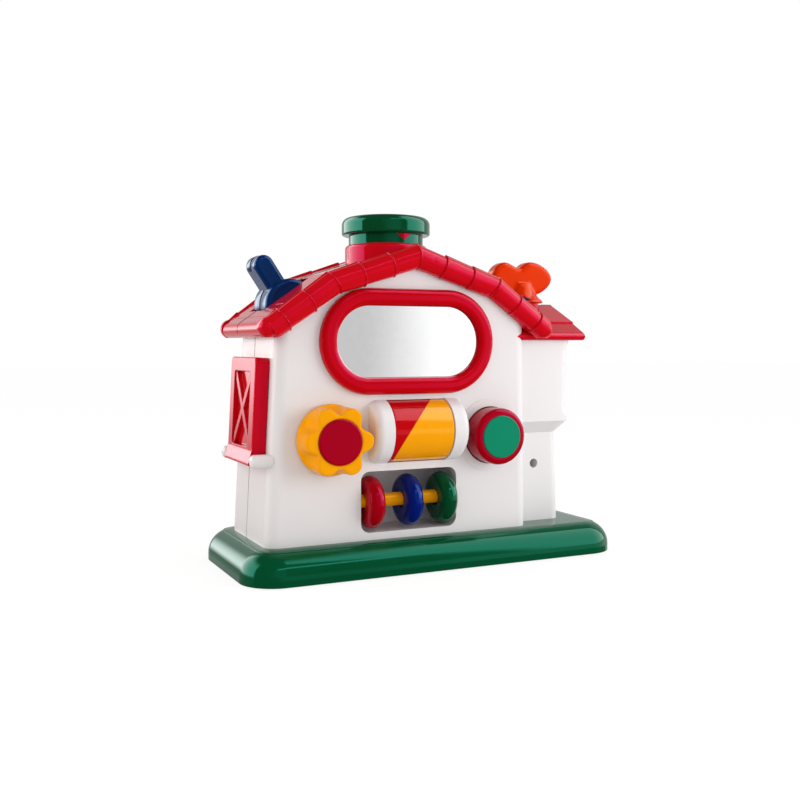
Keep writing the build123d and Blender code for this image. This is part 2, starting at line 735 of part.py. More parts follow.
def course_grooves():
    """Shallow grooves along both slopes where one tile course meets the next."""
    grooves = []
    width = COURSE_GROOVE / 2
    for side in (-1, 1):
        for offset in course_offsets(side):
            x = ROOF_X + side * offset
            lip = [(x - side * width, slope_z(offset - width) + 0.2), (x, slope_z(offset) - COURSE_STEP)]
            lip += [(x + side * 0.2, slope_z(offset + 0.2) + 0.2)]
            grooves.append(prism_xz(lip, ROOF_FRONT_Y + TRIM_LEDGE, ROOF_BACK_Y - TRIM_LEDGE))
    return grooves


def course_offsets(side):
    """Where the tile courses of one slope end, from the ridge outwards."""
    upper = [ROOF_KNEE * n / TILES_ABOVE_KNEE for n in range(1, TILES_ABOVE_KNEE + 1)]
    return upper + [ROOF_KNEE + COURSE_RUN, roof_eave(side) - COURSE_EAVE]


def annex_slope(sign, sink):
    """Annex roof outline from ridge to eave on one side, as Y and Z, sunk below its surface."""
    full = ANNEX_COURSE_RUN + ANNEX_EAVE_RUN + ANNEX_NOSE
    scale = 1.0 if sign < 0 else (ROOF_BACK_Y - SEAM_Y) / full
    step_z = ANNEX_RIDGE_Z - ANNEX_COURSE_FALL
    eave_z = step_z - ANNEX_STEP - ANNEX_EAVE_FALL
    step_y = SEAM_Y + sign * ANNEX_COURSE_RUN * scale
    eave_y = SEAM_Y + sign * (ANNEX_COURSE_RUN + ANNEX_EAVE_RUN) * scale
    nose_y = SEAM_Y + sign * full * scale
    if sink:
        return [(SEAM_Y, ANNEX_RIDGE_Z - sink), (step_y, step_z - sink), (eave_y, eave_z - sink)]
    rise = (eave_z - ANNEX_EAVE_Z) * 0.5
    return [(SEAM_Y, ANNEX_RIDGE_Z), (step_y, step_z), (step_y, step_z - ANNEX_STEP),
            (eave_y, eave_z), (nose_y, ANNEX_EAVE_Z + rise), (eave_y, ANNEX_EAVE_Z)]


def annex_roof_form():
    front = annex_slope(-1, 0)
    back = annex_slope(1, 0)
    form = prism_yz(front + list(reversed(back[1:])), RIGHT_X - 20, ANNEX_VERGE_X)
    noses = [(front[3], ANNEX_NOSE), (front[5], ANNEX_NOSE), (back[3], ANNEX_NOSE), (back[5], ANNEX_NOSE)]
    for (y, z), radius in noses + [(front[4], ANNEX_TIP), (back[4], ANNEX_TIP)]:
        line = edges_in(form, RIGHT_X, ANNEX_VERGE_X - 1, y - 0.5, y + 0.5, z - 0.5, z + 0.5)
        form = fillet(line, radius)
    verge = edges_in(form, ANNEX_VERGE_X - 0.1, ANNEX_VERGE_X + 0.1, -SKY, SKY, ANNEX_EAVE_Z + 1, SKY)
    return fillet(verge, VERGE_ROUND * 0.5)


def annex_roof_hollow():
    """The space under the annex roof, open to the annex below."""
    sink = ROOF_SKIN * 1.2
    front = annex_slope(-1, sink)
    back = annex_slope(1, sink)
    ceiling = prism_yz([(front[2][0], 150)] + list(reversed(front)) + back[1:] + [(back[2][0], 150)],
                       RIGHT_X, BAY_X - WALL)
    return ceiling & box(0, SKY, BAY_FRONT_Y + WALL, BAY_BACK_Y - WALL, 150, SKY)


def trim_section(grow):
    """Half-round tile section, X towards the back and Y out of the roof, from the gable face."""
    top = TRIM_RISE + grow / 2
    low = TRIM_RISE - TRIM_WIDTH - grow / 2
    crest = TRIM_LEDGE / 2
    root = FASCIA * 0.4
    with BuildSketch() as section:
        with BuildLine():
            ThreePointArc((0, low), (-TRIM_BULGE - grow / 2, (top + low) / 2), (0, top))
            Line((0, top), (crest, top))
            Line((crest, top), (TRIM_LEDGE, -TRIM_SINK))
            Line((TRIM_LEDGE, -TRIM_SINK), (root, -TRIM_SINK))
            Line((root, -TRIM_SINK), (root, low))
            Line((root, low), (0, low))
        make_face()
    return section.sketch


def trim_tile(corner, direction, start, end):
    """One barrel tile of the gable trim, widest just below its softened uphill edge."""
    along = Vector(direction[0], 0, direction[1])
    sections = []
    for place, grow in ((start, TILE_TAPER - 2 * TILE_EDGE), (start + TILE_EDGE, TILE_TAPER), (end, 0)):
        origin = Vector(corner[0], ROOF_FRONT_Y, corner[1]) + along * place
        sections.append(Plane(origin=origin, x_dir=(0, 1, 0), z_dir=along) * trim_section(grow))
    return loft(sections, ruled=True)


def trim_half(eave):
    """The trim from the ridge down the right side of the front gable to an eave, six tiles."""
    ridge = (ROOF_X, ROOF_APEX_Z)
    knee = (ROOF_X + ROOF_KNEE, KNEE_Z)
    upper_way = (UPPER_COS, -UPPER_COS * UPPER_TAN)
    lower_way = (LOWER_COS, -LOWER_COS * LOWER_TAN)
    upper_tile = ROOF_KNEE / UPPER_COS / TILES_ABOVE_KNEE
    overrun = TRIM_WIDTH / 3
    upper = []
    for n in range(TILES_ABOVE_KNEE):
        start = n * upper_tile if n else -overrun
        last = n == TILES_ABOVE_KNEE - 1
        upper.append(trim_tile(ridge, upper_way, start, (n + 1) * upper_tile + (overrun if last else 0)))
    lower = []
    for n in range(TILES_BELOW_KNEE):
        start = n * LOWER_TILE if n else -overrun
        lower.append(trim_tile(knee, lower_way, start, (n + 1) * LOWER_TILE))
    tilt = math.radians((ROOF_UPPER_PITCH + ROOF_LOWER_PITCH) / 2)
    mitre = Plane(origin=(knee[0], 0, knee[1]), z_dir=(math.cos(tilt), 0, -math.sin(tilt)))
    upper[-1] = split(upper[-1], bisect_by=mitre, keep=Keep.BOTTOM)
    lower[0] = split(lower[0], bisect_by=mitre, keep=Keep.TOP)
    upper[0] = split(upper[0], bisect_by=Plane(origin=(ROOF_X, 0, 0), z_dir=(1, 0, 0)), keep=Keep.TOP)
    x, z = trim_ball_place(eave)
    last = Plane(origin=(x, 0, z), z_dir=(lower_way[0], 0, lower_way[1]))
    lower[-1] = split(lower[-1], bisect_by=last, keep=Keep.BOTTOM)
    trim = upper[0]
    for tile in upper[1:] + lower:
        trim = trim + tile
    trim = trim + trim_ball(eave)
    return trim & box(-SKY, SKY, -SKY, SKY, EAVE_Z, SKY)


def trim_ball_place(eave):
    """Middle of the round end of the trim's last tile, as X and Z."""
    return ROOF_X + eave - TRIM_BALL_INSET, EAVE_Z + TRIM_BALL_INSET


def trim_ball(eave):
    """The round end of the trim's last tile, with a short neck back to the trim's ledge."""
    x, z = trim_ball_place(eave)
    ledge = ROOF_FRONT_Y + TRIM_LEDGE
    ball = Pos(x, ROOF_FRONT_Y, z) * Sphere(TRIM_BALL)
    ball = ball & box(-SKY, SKY, -SKY, ROOF_FRONT_Y, -SKY, SKY)
    return ball + rod_y(TRIM_BALL, x, z, ROOF_FRONT_Y, ledge)


def gable_opening():
    """All that lies under the trim's lower edge, parallel to both slopes."""
    return prism_xz(roof_outline(TRIM_WIDTH - TRIM_RISE, PLATEAU), -SKY, SKY)


def chimney_stack():
    """The round chimney base with its well, open at the top."""
    stack = rod_z(CHIMNEY_BASE, CHIMNEY_X, SEAM_Y, CHIMNEY_WELL_Z - WALL, CHIMNEY_BASE_Z)
    stack = fillet(stack.edges().sort_by(Axis.Z)[-1], CHIMNEY_BASE_ROUND)
    well = rod_z(CHIMNEY_NECK + CHIMNEY_GAP, CHIMNEY_X, SEAM_Y, CHIMNEY_WELL_Z, CHIMNEY_BASE_Z + 1)
    hole = rod_z(CHIMNEY_STEM + SLIDE_FIT, CHIMNEY_X, SEAM_Y, CHIMNEY_WELL_Z - WALL - 1, SKY)
    return stack, well + hole


def lever_slot():
    """The slot in the left slope that the lever swings in, cut square to the slope."""
    block = Box(2 * LEVER_SLOT_HALF, LEVER_HUB_THICK + 2 * LEVER_SIDE_GAP, 4 * ROOF_SKIN)
    middle = Pos(LEVER_SLOT_X, SEAM_Y, slope_z(ROOF_X - LEVER_SLOT_X))
    return middle * Rot(0, -ROOF_LOWER_PITCH, 0) * block


def lever_ear(side):
    """A cheek under the roof that carries one end of the lever's axle."""
    y0 = SEAM_Y + side * (LEVER_HUB_THICK / 2 + LEVER_SIDE_GAP)
    y1 = y0 + side * LEVER_EAR
    low, high = min(y0, y1), max(y0, y1)
    reach = LEVER_AXLE * 2.2
    ear = rod_y(reach, LEVER_X, LEVER_Z, low, high)
    ear += box(LEVER_X - reach, LEVER_X + reach, low, high, LEVER_Z, ROOF_APEX_Z)
    return ear & prism_xz(roof_outline(ROOF_SKIN / 2, PLATEAU), -SKY, SKY)


def make_roof():
    """Both halves of the roof, before the seam is cut."""
    attic = main_block(0, True)
    roof = main_roof_form()
    for groove in course_grooves():
        roof -= groove
    roof = roof - attic - gable_opening()
    annex = annex_roof_form() - attic - annex_roof_hollow()
    left = mirror(trim_half(ROOF_EAVE_LEFT), Plane(origin=(ROOF_X, 0, 0), z_dir=(1, 0, 0)))
    front = trim_half(ROOF_EAVE_RIGHT) + left
    middle = (ROOF_FRONT_Y + ROOF_BACK_Y) / 2
    back = mirror(front, Plane(origin=(0, middle, 0), z_dir=(0, 1, 0)))
    stack, well = chimney_stack()
    seat = rod_z(KEY_SEAT_RADIUS, KEY_X, SEAM_Y, ANNEX_RIDGE_Z - 8, KEY_SEAT_Z)
    key_well = rod_z(KEY_SEAT_RADIUS - WALL, KEY_X, SEAM_Y, ANNEX_RIDGE_Z - 20, KEY_SEAT_Z - WALL)
    roof = roof + annex + front + back + seat + stack - well - key_well
    roof -= rod_z(KEY_SHAFT + RUNNING_FIT, KEY_X, SEAM_Y, ANNEX_EAVE_Z, SKY)
    roof -= lever_slot()
    roof += lever_ear(-1)
    roof += lever_ear(1)
    reach = LEVER_HUB_THICK / 2 + LEVER_SIDE_GAP + LEVER_EAR + 1
    return roof - rod_y(LEVER_AXLE + SCREW_FIT, LEVER_X, LEVER_Z, SEAM_Y - reach, SEAM_Y + reach)


# ---------------------------------------------------------------- mirror
def glass_y():
    """Front face of the mirror's glass, inside the frame's rebate."""
    return FRONT_Y - MIRROR_RIM_RISE + GLASS_RECESS


def make_mirror_frame():
    front = FRONT_Y - MIRROR_RIM_RISE
    back = FRONT_Y + MIRROR_SPIGOT_DEPTH
    frame = stadium(0, front, FRONT_Y) - stadium(-MIRROR_RIM, front - 1, FRONT_Y + 1)
    crest = edges_in(frame, -SKY, SKY, front - 0.1, front + 0.1, -SKY, SKY)
    frame = fillet(crest, MIRROR_RIM_RISE * 0.7)
    spigot = stadium(MIRROR_SPIGOT - MIRROR_RIM, FRONT_Y - 0.5, back)
    frame += spigot - stadium(-MIRROR_RIM, FRONT_Y - 1, back + 1)
    return frame - stadium(GLASS_LAP - MIRROR_RIM, glass_y(), back + 1)


def make_mirror_glass():
    return stadium(GLASS_LAP - MIRROR_RIM - SCREW_FIT, glass_y(), glass_y() + GLASS_THICK)


def make_mirror_backing():
    back = glass_y() + GLASS_THICK
    plate = stadium(GLASS_LAP - MIRROR_RIM - SCREW_FIT, back, back + BACKING_THICK)
    rib = stadium(-MIRROR_RIM, back, back + 2 * BACKING_THICK)
    return plate + rib - stadium(-MIRROR_RIM - BACKING_THICK, back + BACKING_THICK, back + 9)


# ---------------------------------------------------------------- star knob
def star_outline(y, blend):
    """A ring that goes from round at blend 0 to a six-lobed star at blend 1, at a depth."""
    middle = (KNOB_STAR_TIP + KNOB_STAR_VALLEY) / 2
    swing = (KNOB_STAR_TIP - KNOB_STAR_VALLEY) / 2
    points = []
    steps = KNOB_LOBES * 6
    for n in range(steps):
        turn = 2 * math.pi * n / steps
        wave = math.cos(KNOB_LOBES * turn) - KNOB_LOBE_FLAT * math.cos(2 * KNOB_LOBES * turn)
        radius = KNOB_FLANGE * (1 - blend) + (middle + swing * wave) * blend
        points.append((KNOB_X + radius * math.cos(turn), y, KNOB_Z + radius * math.sin(turn)))
    return make_face(Spline(*points, periodic=True))


def make_star_knob():
    back = FRONT_Y - KNOB_GAP
    lip = back - KNOB_FLANGE_THICK
    front = back - KNOB_REACH
    flange = rod_y(KNOB_FLANGE, KNOB_X, KNOB_Z, lip, back)
    flange = fillet(edges_in(flange, -SKY, SKY, lip - 0.1, lip + 0.1, -SKY, SKY), KNOB_FLANGE_THICK * 0.45)
    star = loft([
        star_outline(lip + 0.5, 0.2),
        star_outline(lip + (front - lip) * 0.5, 0.85),
        star_outline(front, 1.0),
    ])
    star = fillet(edges_in(star, -SKY, SKY, front - 0.1, front + 0.1, -SKY, SKY), KNOB_LOBE_ROUND)
    tip = knob_back() + RATCHET_THICK
    knob = flange + star + rod_y(KNOB_SHAFT, KNOB_X, KNOB_Z, back - 1, tip)
    knob -= rod_y(SCREW_RADIUS + SCREW_FIT, KNOB_X, KNOB_Z, tip - SCREW_LENGTH + WALL, tip + 1)
    seat = rod_y(KNOB_CAP_RADIUS + SCREW_FIT, KNOB_X, KNOB_Z, front - 1, front + KNOB_CAP_SEAT)
    return knob - seat


def make_knob_cap():
    """A shallow domed disc let into the front of the star."""
    front = FRONT_Y - KNOB_GAP - KNOB_REACH
    disc = rod_y(KNOB_CAP_RADIUS, KNOB_X, KNOB_Z, front - KNOB_CAP_DOME, front + KNOB_CAP_SEAT)
    crown = edges_in(disc, -SKY, SKY, front - SKY, front - KNOB_CAP_DOME + 0.1, -SKY, SKY)
    return fillet(crown, KNOB_CAP_DOME * 0.9)


def make_knob_ratchet():
    """The toothed wheel on the knob's shaft, behind the facade."""
    front = knob_back()
    back = front + RATCHET_THICK
    wheel = rod_y(RATCHET_RADIUS, KNOB_X, KNOB_Z, front, back)
    for n in range(RATCHET_TEETH):
        turn = 2 * math.pi * (n + 0.5) / RATCHET_TEETH
        x = KNOB_X + RATCHET_RADIUS * math.cos(turn)
        z = KNOB_Z + RATCHET_RADIUS * math.sin(turn)
        wheel -= rod_y(RATCHET_NOTCH, x, z, front - 1, back + 1)
    return wheel - rod_y(KNOB_SHAFT + SCREW_FIT, KNOB_X, KNOB_Z, front - 1, back + 1)


def make_knob_screw():
    seat = (KNOB_X, knob_back() + RATCHET_THICK, KNOB_Z)
    return screw(seat, (0, -1, 0), SCREW_LENGTH - WALL - 1, KNOB_SHAFT * 2.6)


# ---------------------------------------------------------------- drum
def drum_form():
    end = DRUM_LENGTH / 2
    drum = rod_x(DRUM_RADIUS, DRUM_Y, DRUM_Z, DRUM_X - end, DRUM_X + end)
    drum = fillet(drum.edges().filter_by(GeomType.CIRCLE), DRUM_SKIN * 0.4)
    drum -= rod_x(DRUM_RADIUS - DRUM_SKIN, DRUM_Y, DRUM_Z, DRUM_X - end + DRUM_SKIN, DRUM_X + end - DRUM_SKIN)
    drum += rod_x(DRUM_AXLE + DRUM_SKIN, DRUM_Y, DRUM_Z, DRUM_X - end + 1, DRUM_X + end - 1)
    return drum - rod_x(DRUM_AXLE + RUNNING_FIT, DRUM_Y, DRUM_Z, DRUM_X - end - 1, DRUM_X + end + 1)


def drum_split():
    """The slanting plane through the drum that parts its two colours."""
    tilt = math.radians(DRUM_SPLIT_TILT)
    turn = math.radians(DRUM_SPLIT_TURN)
    normal = (math.sin(tilt), -math.cos(tilt) * math.sin(turn), -math.cos(tilt) * math.cos(turn))
    return Plane(origin=(DRUM_X, DRUM_Y, DRUM_Z), z_dir=normal)


def make_drum_red():
    return split(drum_form(), bisect_by=drum_split(), keep=Keep.BOTTOM)


def make_drum_yellow():
    return split(drum_form(), bisect_by=drum_split(), keep=Keep.TOP)


def make_drum_axle():
    reach = drum_half() + CHEEK_EAR - 1
    return rod_x(DRUM_AXLE, DRUM_Y, DRUM_Z, DRUM_X - reach, DRUM_X + reach)


# ---------------------------------------------------------------- push button
def coil(plane, radius, turns, length):
    """A compression spring as an open helix of short straight stretches."""
    steps = COIL_STEPS * turns
    points = []
    for n in range(steps + 1):
        turn = 2 * math.pi * n / COIL_STEPS
        height = COIL_WIRE + (length - 2 * COIL_WIRE) * n / steps
        points.append(plane.from_local_coords((radius * math.cos(turn), radius * math.sin(turn), height)))
    path = Polyline(points)
    section = Plane(origin=path @ 0, z_dir=path % 0) * RegularPolygon(COIL_WIRE * 0.95, 6)
    return sweep(section, path=path, transition=Transition.RIGHT)


def make_button_body():
    front = FRONT_Y - BUTTON_REACH
    flange = FRONT_Y + WALL + SLIDE_FIT
    back = flange + BUTTON_SKIN
    body = rod_y(BUTTON_RADIUS, BUTTON_X, BUTTON_Z, front, back)
    body = fillet(edges_in(body, -SKY, SKY, front - 0.1, front + 0.1, -SKY, SKY), BUTTON_ROUND)
    body += rod_y(BUTTON_FLANGE, BUTTON_X, BUTTON_Z, flange, back)
    body -= rod_y(BUTTON_RADIUS - BUTTON_SKIN, BUTTON_X, BUTTON_Z, front + 2 * BUTTON_SKIN, back + 1)
    seat = rod_y(COIL_RADIUS + BUTTON_SKIN, BUTTON_X, BUTTON_Z, front + BUTTON_SKIN, button_seat())
    seat -= rod_y(COIL_RADIUS - BUTTON_SKIN, BUTTON_X, BUTTON_Z, front + 2 * BUTTON_SKIN, button_seat() + 1)
    body += seat
    rebate = front + BUTTON_DISC_THICK / 2
    return body - rod_y(BUTTON_DISC_RADIUS + SCREW_FIT, BUTTON_X, BUTTON_Z, front - 1, rebate)


def button_seat():
    """Where the button's spring bears on the button."""
    return FRONT_Y - BUTTON_REACH + BUTTON_REACH * 0.6


def make_button_disc():
    front = FRONT_Y - BUTTON_REACH
    low = front - BUTTON_DISC_THICK / 2
    disc = rod_y(BUTTON_DISC_RADIUS, BUTTON_X, BUTTON_Z, low, front + BUTTON_DISC_THICK / 2)
    return fillet(edges_in(disc, -SKY, SKY, low - 0.1, low + 0.1, -SKY, SKY), BUTTON_DISC_THICK * 0.35)


def make_button_carrier():
    """The three-armed plate behind the button that its spring pushes against."""
    y = carrier_y()
    plate = hull_plate([(x, z, BOSS_RADIUS) for x, z in carrier_places()], y, y + CARRIER_THICK)
    plate += rod_y(COIL_RADIUS - BUTTON_SKIN, BUTTON_X, BUTTON_Z, y - BUTTON_TRAVEL * 0.6, y + 0.1)
    for x, z in carrier_places():
        plate -= rod_y(SMALL_SCREW_RADIUS + SCREW_FIT, x, z, y - 1, y + CARRIER_THICK + 1)
    return plate


def make_carrier_screws():
    seat = carrier_y() + CARRIER_THICK
    length = SMALL_SCREW + CARRIER_THICK - 0.5
    backward = (0, -1, 0)
    screws = []
    for x, z in carrier_places():
        screws.append(screw((x, seat, z), backward, length, SCREW_HEAD * 1.6, SMALL_SCREW_RADIUS))
    return as_solids(*screws)


def make_button_spring():
    start = Plane(origin=(BUTTON_X, carrier_y(), BUTTON_Z), z_dir=(0, -1, 0))
    return coil(start, COIL_RADIUS, BUTTON_COILS, carrier_y() - button_seat())


# ---------------------------------------------------------------- beads
def make_bead_rod():
    half = WINDOW_LENGTH / 2 + WALL - 0.1
    rod = rod_x(ROD_RADIUS, ROD_Y, WINDOW_Z, WINDOW_X - half, WINDOW_X + half)
    return chamfer(rod.edges().filter_by(GeomType.CIRCLE), 0.5)


def make_bead(x):
    """A ring bead hanging on the rod by the inside of its hole."""
    hang = BEAD_RING - BEAD_TUBE - ROD_RADIUS - SLIDE_FIT
    return Pos(x, ROD_Y, WINDOW_Z - hang) * Rot(0, 90, 0) * Torus(BEAD_RING, BEAD_TUBE)


# ---------------------------------------------------------------- chimney
def make_chimney_cap():
    """The press-down chimney: cap, hollow neck, and a stem through the well's floor."""
    top = CHIMNEY_CAP_Z + CHIMNEY_CAP_HEIGHT
    cap = rod_z(CHIMNEY_CAP, CHIMNEY_X, SEAM_Y, CHIMNEY_CAP_Z, top)
    cap = fillet(cap.edges().sort_by(Axis.Z)[-1], CHIMNEY_CROWN)
    brim = edges_in(cap, -SKY, SKY, -SKY, SKY, CHIMNEY_CAP_Z - 0.1, CHIMNEY_CAP_Z + 0.1)
    cap = fillet(brim, CHIMNEY_BRIM)
    neck_low = CHIMNEY_WELL_Z + CHIMNEY_TRAVEL + 1.5
    cap += rod_z(CHIMNEY_NECK, CHIMNEY_X, SEAM_Y, neck_low, CHIMNEY_CAP_Z + 1)
    cap -= rod_z(CHIMNEY_NECK - CHIMNEY_SKIN, CHIMNEY_X, SEAM_Y, neck_low - 1, top - CHIMNEY_SKIN)
    hub_low = chimney_seat()
    cap += rod_z(CHIMNEY_COIL + CHIMNEY_SKIN, CHIMNEY_X, SEAM_Y, hub_low, top - CHIMNEY_SKIN / 2)
    cap += rod_z(CHIMNEY_STEM, CHIMNEY_X, SEAM_Y, stem_low(), hub_low + 1)
    cap -= rod_z(SCREW_RADIUS + SCREW_FIT, CHIMNEY_X, SEAM_Y, stem_low() - 1, stem_low() + SCREW_LENGTH)
    return cap - pointer_inlay(POINTER_PROUD)


def chimney_seat():
    """Where the chimney's spring bears on its cap."""
    return CHIMNEY_WELL_Z + 2.6 * CHIMNEY_TRAVEL


def stem_low():
    """Lower end of the chimney's stem, just past the well's floor and the retainer."""
    return CHIMNEY_WELL_Z - WALL - SLIDE_FIT - RETAINER_THICK


def pointer_inlay(proud):
    """The triangle let into the front of the chimney's neck, standing proud of it."""
    top = CHIMNEY_CAP_Z - 0.4
    half = POINTER_WIDTH / 2
    middle = CHIMNEY_X + POINTER_SHIFT
    outline = [(middle - half, top), (middle + half, top), (middle, top - POINTER_HEIGHT)]
    prism = prism_xz(outline, SEAM_Y - CHIMNEY_CAP, SEAM_Y)
    shell = rod_z(CHIMNEY_NECK + proud, CHIMNEY_X, SEAM_Y, 0, SKY)
    return prism & (shell - rod_z(CHIMNEY_NECK - POINTER_INSET, CHIMNEY_X, SEAM_Y, 0, SKY))


def make_chimney_pointer():
    return pointer_inlay(POINTER_PROUD)


def retainer(radius, x, y, top):
    """A washer that keeps a stem from pulling out."""
    disc = rod_z(radius, x, y, top - RETAINER_THICK, top)
    return fillet(disc.edges().filter_by(GeomType.CIRCLE).sort_by(Axis.Z)[0], 0.6)


def make_chimney_retainer():
    washer = retainer(CHIMNEY_STEM * 1.8, CHIMNEY_X, SEAM_Y, CHIMNEY_WELL_Z - WALL - SLIDE_FIT)
    return washer - rod_z(CHIMNEY_STEM + SCREW_FIT, CHIMNEY_X, SEAM_Y, 0, SKY)


def make_chimney_screw():
    return screw((CHIMNEY_X, SEAM_Y, stem_low()), (0, 0, 1), SCREW_LENGTH - 1, CHIMNEY_STEM * 2.6)


def make_chimney_spring():
    start = Plane(origin=(CHIMNEY_X, SEAM_Y, CHIMNEY_WELL_Z), z_dir=(0, 0, 1))
    return coil(start, CHIMNEY_COIL, CHIMNEY_COILS, chimney_seat() - CHIMNEY_WELL_Z)


# ---------------------------------------------------------------- lever
def lever_form():
    """The lever's hub and handle in one, before it is parted at the seam."""
    hub_circle = (LEVER_X, LEVER_Z, LEVER_HUB)
    handle_ends = [(LEVER_X, LEVER_Z, LEVER_HANDLE), (LEVER_TIP_X, LEVER_TIP_Z, LEVER_HANDLE)]
    form = lever_plate([hub_circle], LEVER_HUB_THICK) + lever_plate(handle_ends, LEVER_HANDLE_THICK)
    return form - rod_y(LEVER_AXLE + RUNNING_FIT, LEVER_X, LEVER_Z, SEAM_Y - SKY, SEAM_Y + SKY)


def lever_plate(circles, thick):
    """A plate about the seam that wraps round circles, with both of its rims rounded."""
    y0 = SEAM_Y - thick / 2
    y1 = SEAM_Y + thick / 2
    plate = hull_plate(circles, y0, y1)
    for y in (y0, y1):
        plate = fillet(edges_in(plate, -SKY, SKY, y - 0.1, y + 0.1, 0, SKY), LEVER_ROUND)
    return plate


def make_lever_axle():
    reach = LEVER_HUB_THICK / 2 + LEVER_SIDE_GAP + LEVER_EAR - 0.2
    return rod_y(LEVER_AXLE, LEVER_X, LEVER_Z, SEAM_Y - reach, SEAM_Y + reach)


# ---------------------------------------------------------------- wing key
def key_cone(grow):
    """The flared foot under the wing, turned about the key's axis, grown outwards."""
    low = KEY_SEAT_Z + KEY_GAP
    edge = 1.6
    mid_radius = KEY_NECK + (KEY_FLANGE - KEY_NECK) * 0.38
    with BuildSketch(Plane.XZ) as profile:
        with BuildLine():
            Line((0, low), (KEY_FLANGE + grow, low))
            Line((KEY_FLANGE + grow, low), (KEY_FLANGE + grow, low + edge))
            ThreePointArc((KEY_FLANGE + grow, low + edge), (mid_radius + grow, low + KEY_CONE_HEIGHT * 0.5),
                          (KEY_NECK + grow, low + KEY_CONE_HEIGHT))
            Line((KEY_NECK + grow, low + KEY_CONE_HEIGHT), (0, low + KEY_CONE_HEIGHT))
            Line((0, low + KEY_CONE_HEIGHT), (0, low))
        make_face()
    return Pos(KEY_X, SEAM_Y, 0) * revolve(profile.sketch, axis=Axis.Z)


def key_plate():
    """The two-lobed wing as a thick plate with rounded edges."""
    right = [(0, KEY_NOTCH_Z), (KEY_LOBE_SPREAD - 1, KEY_LOBE_Z + KEY_LOBE)]
    right += [(KEY_LOBE_SPREAD + KEY_LOBE, KEY_LOBE_Z), (KEY_LOBE_SPREAD + 1, KEY_LOBE_Z - KEY_LOBE)]
    right += [(KEY_NECK * 0.8, KEY_SEAT_Z + 6)]
    outline = right + [(-x, z) for x, z in reversed(right[1:])]
    y1 = SEAM_Y + KEY_PLATE / 2
    face = make_face(Spline(*[(KEY_X + x, y1, z) for x, z in outline], periodic=True))
    plate = extrude(face, amount=KEY_PLATE, dir=(0, -1, 0))
    return fillet(plate.edges(), KEY_ROUND)


def key_pointer_inlay(proud):
    low = KEY_SEAT_Z + KEY_GAP + 1.8
    middle = KEY_X - KEY_POINTER_SHIFT
    outline = [(middle - KEY_POINTER, low), (middle + KEY_POINTER, low), (middle, low + KEY_POINTER * 0.5)]
    prism = prism_xz(outline, SEAM_Y - KEY_FLANGE - 2, SEAM_Y)
    return prism & (key_cone(proud) - key_cone(-POINTER_INSET))


def make_wing_key():
    low = KEY_SEAT_Z + KEY_GAP
    under = key_cone(-KEY_SKIN) & rod_z(SKY, KEY_X, SEAM_Y, low - 1, low + KEY_CONE_HEIGHT * 0.55)
    key = key_cone(0) - under + rod_z(KEY_NECK, KEY_X, SEAM_Y, low, low + KEY_CONE_HEIGHT) + key_plate()
    foot = KEY_SEAT_Z - WALL - SLIDE_FIT - RETAINER_THICK
    key += rod_z(KEY_SHAFT, KEY_X, SEAM_Y, foot, low + 1)
    key -= rod_z(SCREW_RADIUS + SCREW_FIT, KEY_X, SEAM_Y, foot - 1, foot + SCREW_LENGTH)
    return key - key_pointer_inlay(0)


def make_key_retainer():
    washer = retainer(KEY_SHAFT * 1.8, KEY_X, SEAM_Y, KEY_SEAT_Z - WALL - SLIDE_FIT)
    return washer - rod_z(KEY_SHAFT + SCREW_FIT, KEY_X, SEAM_Y, 0, SKY)


def make_key_screw():
    foot = KEY_SEAT_Z - WALL - SLIDE_FIT - RETAINER_THICK
    return screw((KEY_X, SEAM_Y, foot), (0, 0, 1), SCREW_LENGTH - 1, KEY_SHAFT * 2.6)


# ---------------------------------------------------------------- shutter
def shutter_brace(sign, y0, y1, z0, z1):
    """One bar of the shutter's raised cross, corner to corner of its panel."""
    length = math.hypot(y1 - y0, z1 - z0)
    angle = math.degrees(math.atan2(z1 - z0, y1 - y0))
    bar = Box(SHUTTER_RECESS, length, SHUTTER_BRACE)
    x = -SHUTTER_THICK / 2 + SHUTTER_RECESS / 2 + SHUTTER_BRACE_SINK
    return Pos(x, (y0 + y1) / 2, (z0 + z1) / 2) * Rot(sign * angle, 0, 0) * bar


